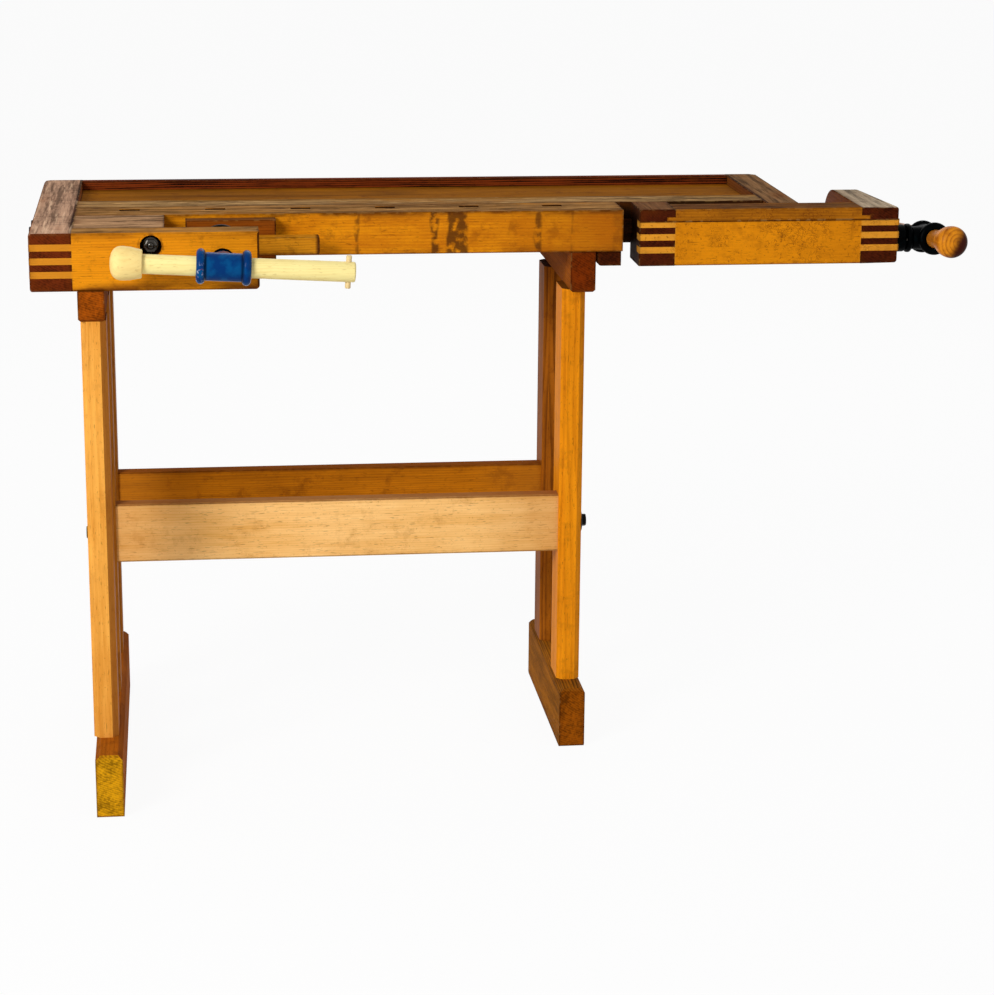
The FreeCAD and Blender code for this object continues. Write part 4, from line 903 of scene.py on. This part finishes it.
# %% Handles, knobs and pins
TAIL_SHIFT = 18.0             # the tail handle has slid this far in its hub
BAR = ([(-137.0, 0.0), (-137.0, 13.8), (-39.0, 14.0), (60.0, 14.3)] + arc((182.0, 11.5), 3.0, 90, 0, 5)
       + [(185.0, 0.0)])
BLUNT = 0.8                   # below 1, the dome is blunter than a ball
DOME_ANGLES = [math.radians(90 * i / 14) for i in range(14)]
DOME = [(-140.0 - 18.0 * math.cos(a) ** BLUNT, 24.0 * math.sin(a) ** BLUNT) for a in DOME_ANGLES]
KNOB = (DOME + [(-140.0, 24.0), (-130.0, 23.3)] + arc((-115.0, 18.3), 2.0, 75, 0, 4)
        + [(-113.0, 14.5), (-137.0, 14.5), (-137.0, 0.0)])
PIN = [(-23.5, 0.0), (-23.5, 3.2), (-22.8, 4.0), (22.8, 4.0), (23.5, 3.2), (23.5, 0.0)]
STAND_UP = along_x(175.0) @ turn(-90, "Y")

AT_TAIL_HANDLE = AT_TAIL @ along_x(TAIL_SHIFT)

for side, at, bar_wood, knob_wood in (("shoulder", AT_SHOULDER, pale_handle, pale_knob),
                                      ("tail", AT_TAIL_HANDLE, tail_handle_wood, tail_knob_wood)):
    placed(spun(BAR, 40), at, side + "_bar", side + "_handle", bar_wood)
    placed(spun(KNOB, 56), at, side + "_bullet", side + "_knob", knob_wood)
    placed(spun(PIN, 20), at @ STAND_UP, side + "_pin", side + "_handle_pin", pin_wood)

# %% [markdown]
# A bench screw has a coarse thread with flat crests. One pitch of its outline, swung round the axis while
# it creeps forward, sweeps the whole thread: `bmesh.ops.spin` takes that creep as dvec. Each turn ends
# where the next one starts, so merging doubles closes the spiral, and two cuts with filled ends give the
# rod its length.

# %% Threads
TURN_STEPS = 24


def threaded(length, outer, root, pitch):
    """A threaded rod along X from 0 to length, in millimetres."""
    thread = bmesh.new()
    slope = (outer - root) * 0.4
    flat = (pitch - 2 * slope) / 2
    outline = [(0, root), (flat, root), (flat + slope, outer), (2 * flat + slope, outer), (pitch, root)]
    points = [thread.verts.new(((along - 2 * pitch) * MM, radius * MM, 0)) for along, radius in outline]
    edges = [thread.edges.new(pair) for pair in zip(points, points[1:])]
    turns = math.ceil(length / pitch) + 3
    bmesh.ops.spin(thread, geom=points + edges, cent=(0, 0, 0), axis=(1, 0, 0), angle=2 * math.pi * turns,
                   dvec=(pitch * MM / TURN_STEPS, 0, 0), steps=TURN_STEPS * turns)
    bmesh.ops.remove_doubles(thread, verts=thread.verts, dist=1e-5)
    for at, outward in ((0.0, -1), (length, 1)):
        everything = thread.verts[:] + thread.edges[:] + thread.faces[:]
        bmesh.ops.bisect_plane(thread, geom=everything, plane_co=(at * MM, 0, 0), plane_no=(outward, 0, 0),
                               clear_outer=True)
        bare = [edge for edge in thread.edges if edge.is_boundary]
        rim = [edge for edge in bare if all(abs(point.co.x - at * MM) < 1e-6 for point in edge.verts)]
        bmesh.ops.holes_fill(thread, edges=rim, sides=0)
    bmesh.ops.recalc_face_normals(thread, faces=thread.faces)
    return thread


print("a turn of thread has", TURN_STEPS, "steps")

# %% [markdown]
# The shoulder screw is smooth by the hub, then threaded, then thin where it turns in its plate. The tail
# screw is threaded for most of its length. A smooth stretch is a spun rod, and the stretches are joined
# end to end.

# %% The two bench screws
SCREW_RADIUS = 12.0
SCREW_ROOT = 10.0
SCREW_PITCH = 5.0
SHANK, SHOULDER_THREAD, TIP_END = 15.0, 126.6, 147.7
TAIL_THREAD, TAIL_SCREW_END = 258.0, 360.1


def rod(start, end, radius, ease=0.6, steps=32):
    return spun([(start, 0), (start, radius - ease), (start + ease, radius), (end - ease, radius),
                 (end, radius - ease), (end, 0)], steps)


shoulder_axis = node_middle("shoulder_screw")
shoulder_axis.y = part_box("shoulder_screw")[0][1]
tail_axis = node_middle("tail_screw")
tail_axis.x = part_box("tail_screw")[0][0]
AT_SHOULDER_SCREW = Matrix.Translation(shoulder_axis) @ turn(90, "Z")
AT_TAIL_SCREW = Matrix.Translation(tail_axis)
thread = moved(threaded(SHOULDER_THREAD, SCREW_RADIUS, SCREW_ROOT, SCREW_PITCH), along_x(SHANK))
shoulder_parts = [rod(0, SHANK, SCREW_RADIUS), thread, rod(SHANK + SHOULDER_THREAD, TIP_END, 8.0)]
tail_parts = [threaded(TAIL_THREAD, SCREW_RADIUS, SCREW_ROOT, SCREW_PITCH),
              rod(TAIL_THREAD, TAIL_SCREW_END, SCREW_RADIUS)]
placed(joined(shoulder_parts), AT_SHOULDER_SCREW, "shoulder_screw_thread", "shoulder_screw", bright_screw)
placed(joined(tail_parts), AT_TAIL_SCREW, "tail_screw_thread", "tail_screw", bright_screw)

# %% [markdown]
# A nut starts as a turned ring. Its two middle rings are then pulled out to the flats, while the end
# rings stay inside a circle, and that leaves the curved chamfers that every real nut has at its corners.
# A washer is spun, with a front that falls away to the rim in a long curve, which is what catches the
# light.

# %% Nuts, washers and bolts
HEAD = 7.0
WASHER_THICK = 2.5
WASHER_FALL = ((0, 5), (0.12, 3.6), (0.34, 2.2), (0.66, 0.9), (1, 0))    # share of the fall, mm from the rim


def nut(start, thick, across, sides, bore=0.0, ease=1.1, cone=0.0):
    """cone is how far the flat front of the nut is turned in from its rim."""
    flat = across / 2
    outline = [(start, bore), (start, flat - cone), (start + ease, flat), (start + thick - ease, flat),
               (start + thick, flat), (start + thick, bore)]
    shape = spun(outline, sides * 8, closed=bore > 0)
    sector = 2 * math.pi / sides
    for point in shape.verts:
        radius = math.hypot(point.co.y, point.co.z)
        if radius > 0.99 * flat * MM:
            angle = (math.atan2(point.co.z, point.co.y) + sector / 2) % sector - sector / 2
            reach = flat / math.cos(angle)
            at_end = min(point.co.x / MM - start, start + thick - point.co.x / MM) < 0.01
            reach = min(reach, flat * 1.04) if at_end else reach
            point.co.y *= reach * MM / radius
            point.co.z *= reach * MM / radius
    return shape


def washer(start, radius, bore):
    front = [(start + share * WASHER_THICK * 0.8, radius - inset) for share, inset in WASHER_FALL]
    back = start + WASHER_THICK
    return spun([(start, bore)] + front + [(back, radius), (back, bore)], 48, closed=True)


def bolt(x, y, z, inward, length, nut_at=None, washer_radius=None):
    """A hexagon-headed bolt along X from the outer face of its head, with a square nut let into the wood."""
    parts = [nut(0, HEAD, 17.0, 6), rod(HEAD, length, 5.0, steps=20)]
    if washer_radius:
        parts.append(washer(HEAD, washer_radius, 5.0))
    if nut_at:
        parts.append(nut(nut_at, 8.0, 16.0, 4, 5.0))
    return moved(joined(parts), Matrix.Translation((x, y, z)) @ turn(0 if inward > 0 else 180, "Z"))


print("washers are", WASHER_THICK, "mm thick")

# %% [markdown]
# Two bolts hold the left cap and one the right, each on its washer. The four stretcher bolts come in
# through the legs, two from each side. The bolts of one node are one piece, so a loop sets them out from
# the node's box.

# %% Cap and stretcher bolts
CAP_Y = (-0.0135, 0.0485)
STRETCHER_Y = (-0.003, 0.192)
cap_z = node_middle("cap_bolts").z
stretcher_z = node_middle("stretcher_bolts").z

left_head, right_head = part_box("cap_bolts")[0][0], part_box("cap_bolts")[1][0]
caps = [bolt(left_head, y, cap_z, 1, 123.5, nut_at=110.5, washer_radius=11.5) for y in CAP_Y]
caps.append(bolt(right_head, CAP_Y[1], cap_z, -1, 112.6, nut_at=99.6, washer_radius=11.5))
placed(joined(caps), Matrix(), "cap_bolt_set", "cap_bolts", black_bolt)

bolts, discs = [], []
for end, inward in ((0, 1), (1, -1)):
    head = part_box("stretcher_bolts")[end][0]
    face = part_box("stretcher_washers")[end][0]
    for y in STRETCHER_Y:
        at = Matrix.Translation((face, y, stretcher_z)) @ turn(180 * end, "Z")
        bolts.append(bolt(head, y, stretcher_z, inward, 111.5))
        discs.append(moved(washer(0, 19.4, 5.1), at))
placed(joined(bolts), Matrix(), "stretcher_bolt_set", "stretcher_bolts", black_bolt)
placed(joined(discs), Matrix(), "stretcher_washer_set", "stretcher_washers", black_bolt)

# %% [markdown]
# The arm's bolt is a long rod, threaded at both ends. Its domed tip and the turned-in front of its nut
# are what shows in the dark recess, as bright crescents, so both are modelled rather than left to a bump.

# %% The arm's bolt
STUD = (5.0, 4.3, 1.5)                # outer radius, root radius and pitch
DOME_TIP = [(0.0, 0.0), (0.0, 1.6), (0.3, 2.6), (0.9, 3.8), (1.8, 4.9), (2.6, 4.9), (2.6, 0.0)]

arm_axis = node_middle("arm_bolt")
arm_axis.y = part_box("arm_bolt")[0][1]
AT_ARM_BOLT = Matrix.Translation(arm_axis) @ turn(90, "Z")
stretches = [spun(DOME_TIP, 32), moved(threaded(10.0, *STUD), along_x(2.0)), rod(12.0, 205.0, 5.0, steps=20),
             moved(threaded(12.0, *STUD), along_x(205.0))]
nuts = [moved(nut(0.5, 8.0, 17.0, 6, 5.0, 1.4, 2.6), turn(30, "X")), nut(204.0, 8.0, 16.0, 4, 5.0)]
placed(joined(stretches), AT_ARM_BOLT, "arm_bolt_rod", "arm_bolt", zinc)
placed(joined(nuts), AT_ARM_BOLT, "arm_bolt_nut_set", "arm_bolt_nuts", zinc)
placed(washer(8.5, 14.2, 5.1), AT_ARM_BOLT, "arm_bolt_disc", "arm_bolt_washer", zinc)

# %% [markdown]
# The thrust collar and the ring on the tail screw are castings with full, rounded rims. They turn on each
# other, so the visible gap between them stays, and both are spun from an outline with arcs on its
# corners.

# %% Collar and ring
SCREW_HOLE = 12.05


def casting(length, radius, round_off):
    middle = radius - round_off
    left = arc((round_off, middle), round_off, 180, 90, 6)
    right = arc((length - round_off, middle), round_off, 90, 0, 6)
    return spun([(0, SCREW_HOLE)] + left + right + [(length, SCREW_HOLE)], 64, closed=True)


for name, node, radius, round_off in (("collar_casting", "tail_thrust_collar", 21.0, 5.0),
                                      ("ring_casting", "tail_screw_ring", 22.0, 3.2)):
    low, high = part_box(node)
    place = Matrix.Translation((low[0], tail_axis.y, tail_axis.z))
    placed(casting((high[0] - low[0]) / MM, radius, round_off), place, name, node, black_paint)

# %% [markdown]
# Hands and elbows round off the ends that stick out: the arm, the left cap, the guide bar and the tail
# vise's end block. Each is a copy of the CAD board, merged, with its flat triangles dissolved, so that
# Bevel can run along whole arrises. Which arrises it takes is told by where their ends lie in the board's
# box.

# %% Rounding a copy of a board
NEAR = 0.0004


def rounded_copy(node, name, chosen, offset, clamp=True):
    shape = bmesh.new()
    shape.from_mesh(nodes[node].data)
    bmesh.ops.remove_doubles(shape, verts=shape.verts, dist=1e-6)
    bmesh.ops.dissolve_limit(shape, angle_limit=math.radians(1), verts=shape.verts, edges=shape.edges)
    low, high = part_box(node)
    sharp = [edge for edge in shape.edges if len(edge.link_faces) == 2 and edge.calc_face_angle() > 0.6]
    picked = [edge for edge in sharp if chosen([point.co for point in edge.verts], low, high)]
    bmesh.ops.bevel(shape, geom=picked, offset=offset * MM, segments=4, profile=0.5, affect="EDGES",
                    material=-1, clamp_overlap=clamp)
    print(node, len(picked), "arrises rounded")
    placed(shape, Matrix(), name, node, bpy.data.materials[node + "_wood"], smooth=35.0)


def lies_on(ends, axis, place):
    return all(abs(point[axis] - place) < NEAR for point in ends)


def level(ends, low, high):
    """On the board's upper or lower face."""
    return lies_on(ends, 2, low[2]) or lies_on(ends, 2, high[2])


print("an arris is taken when both its ends lie within", NEAR * 1000, "mm")

# %% [markdown]
# The arm is worn all round its right end and down its left front corner, and the guide bar round its
# right end. On the cap, the fingers that cross its outer face keep their crisp edges, as they do on a
# real joint. The end block tapers to the back, so its outer face is found from its width at the front and
# at the back.

# %% Four worn boards
CAP_FRONT = 0.004                     # the front arris of the cap lies within this
END_WIDTHS = (0.059, 0.038)           # of the end block, at its front and at its back
CORNER = 0.00544                      # depth of the end block's rounded front corner
FINGERS_END = 0.0315                  # past the fingers, the rest of the rim is rounded too


def right_rim(ends, low, high):
    return lies_on(ends, 0, high[0])


def arm_ends(ends, low, high):
    return right_rim(ends, low, high) or (lies_on(ends, 0, low[0]) and lies_on(ends, 1, low[1]))


def left_rim(ends, low, high):
    across = abs(ends[0].y - ends[1].y)
    rise = abs(ends[0].z - ends[1].z)
    front = max(point.y for point in ends) - low[1]
    upright = across < CAP_FRONT and rise > 0.002 and front < CAP_FRONT
    return lies_on(ends, 0, low[0]) and (level(ends, low, high) or upright)


def end_rim(ends, low, high):
    """Round the end block's outer face, with the small steps of its rounded front corner."""
    front, back = END_WIDTHS
    taper = (front - back) / (high[1] - low[1])
    depths = [point.y - low[1] for point in ends]
    widths = [point.x - low[0] for point in ends]
    off_face = [abs(width - front + taper * depth) for width, depth in zip(widths, depths)]
    on_face = min(depths) > CORNER - NEAR and max(off_face) < NEAR
    at_corner = min(widths) > front - 0.006 and max(depths) < CORNER + NEAR
    flat = level(ends, low, high)
    return (at_corner and flat) or (on_face and (flat or min(depths) > FINGERS_END))


rounded_copy("shoulder_arm", "arm_board", arm_ends, 3.5)
rounded_copy("left_end_cap", "left_cap_board", left_rim, 3.5)
rounded_copy("jaw_guide_bar", "guide_bar_board", right_rim, 3.0)
rounded_copy("tail_end_block", "end_block_board", end_rim, 4.5, clamp=False)

# %% [markdown]
# A plain pale floor and soft lamps let the wood speak. The floor shows nearly white to the camera and to
# reflections, but not to the light that reaches the bench, so it keeps a soft shadow and doesn't wash the
# colours out. A brighter world would do that, and a floor that only glows would have no shadow.

# %% Floor and world
FLOOR_WHITE = 0.94
WORLD_LIGHT = 0.42
FLOOR_SIZE = 30.0


def seen_directly(tree):
    """1 for camera, mirror and glass rays, and 0 for the light on the bench."""
    path = tree.nodes.new("ShaderNodeLightPath")
    total = path.outputs["Is Camera Ray"]
    for name in ("Is Glossy Ray", "Is Transmission Ray"):
        step = tree.nodes.new("ShaderNodeMath")
        step.operation = "MAXIMUM"
        tree.links.new(total, step.inputs[0])
        tree.links.new(path.outputs[name], step.inputs[1])
        total = step.outputs[0]
    return total


def floor_material():
    material = bpy.data.materials.new("floor")
    material.use_nodes = True
    tree = material.node_tree
    tree.nodes.clear()
    matte = tree.nodes.new("ShaderNodeBsdfDiffuse")
    matte.inputs[0].default_value = (0.8, 0.8, 0.8, 1)
    glow = tree.nodes.new("ShaderNodeEmission")
    share = tree.nodes.new("ShaderNodeMath")
    share.operation = "MULTIPLY"
    share.inputs[1].default_value = FLOOR_WHITE
    tree.links.new(seen_directly(tree), share.inputs[0])
    blend = tree.nodes.new("ShaderNodeMixShader")
    for source, target in ((share, 0), (matte, 1), (glow, 2)):
        tree.links.new(source.outputs[0], blend.inputs[target])
    tree.links.new(blend.outputs[0], tree.nodes.new("ShaderNodeOutputMaterial").inputs[0])
    return material


floor_shape = bmesh.new()
bmesh.ops.create_grid(floor_shape, x_segments=1, y_segments=1, size=FLOOR_SIZE)
floor_mesh = bpy.data.meshes.new("floor")
floor_shape.to_mesh(floor_mesh)
floor_shape.free()
floor_mesh.materials.append(floor_material())
floor = bpy.data.objects.new("floor", floor_mesh)
floor.location.z = -0.0005
bpy.context.scene.collection.objects.link(floor)

world = bpy.data.worlds.new("studio")
bpy.context.scene.world = world
world.use_nodes = True
sky = world.node_tree.nodes["Background"]
sky.inputs[0].default_value = (1, 1, 1, 1)
brightness = world.node_tree.nodes.new("ShaderNodeMapRange")
brightness.inputs["To Min"].default_value = WORLD_LIGHT
brightness.inputs["To Max"].default_value = 1.0
world.node_tree.links.new(seen_directly(world.node_tree), brightness.inputs[0])
world.node_tree.links.new(brightness.outputs[0], sky.inputs[1])
print("floor", 2 * FLOOR_SIZE, "m wide")

# %% [markdown]
# Three soft lamps: a strong one at the left front, a weak one that fills the shadows from the right, and
# one behind that edges the top. Wide discs give soft shadows, as a window does.

# %% Lamps
LOOK_AT = Vector((0, 0, 0.6))


def soft_lamp(name, place, size, watts):
    data = bpy.data.lights.new(name, "AREA")
    data.shape = "DISK"
    data.size = size
    data.energy = watts
    lamp = bpy.data.objects.new(name, data)
    bpy.context.scene.collection.objects.link(lamp)
    lamp.location = place
    lamp.rotation_euler = (LOOK_AT - Vector(place)).to_track_quat("-Z", "Y").to_euler()
    print(name, "lamp,", watts, "W")


soft_lamp("key", (-2.6, -2.8, 2.4), 1.6, 118.0)
soft_lamp("fill", (2.8, -2.8, 1.8), 2.4, 16.0)
soft_lamp("back", (0.6, 3.0, 2.8), 2.4, 24.0)
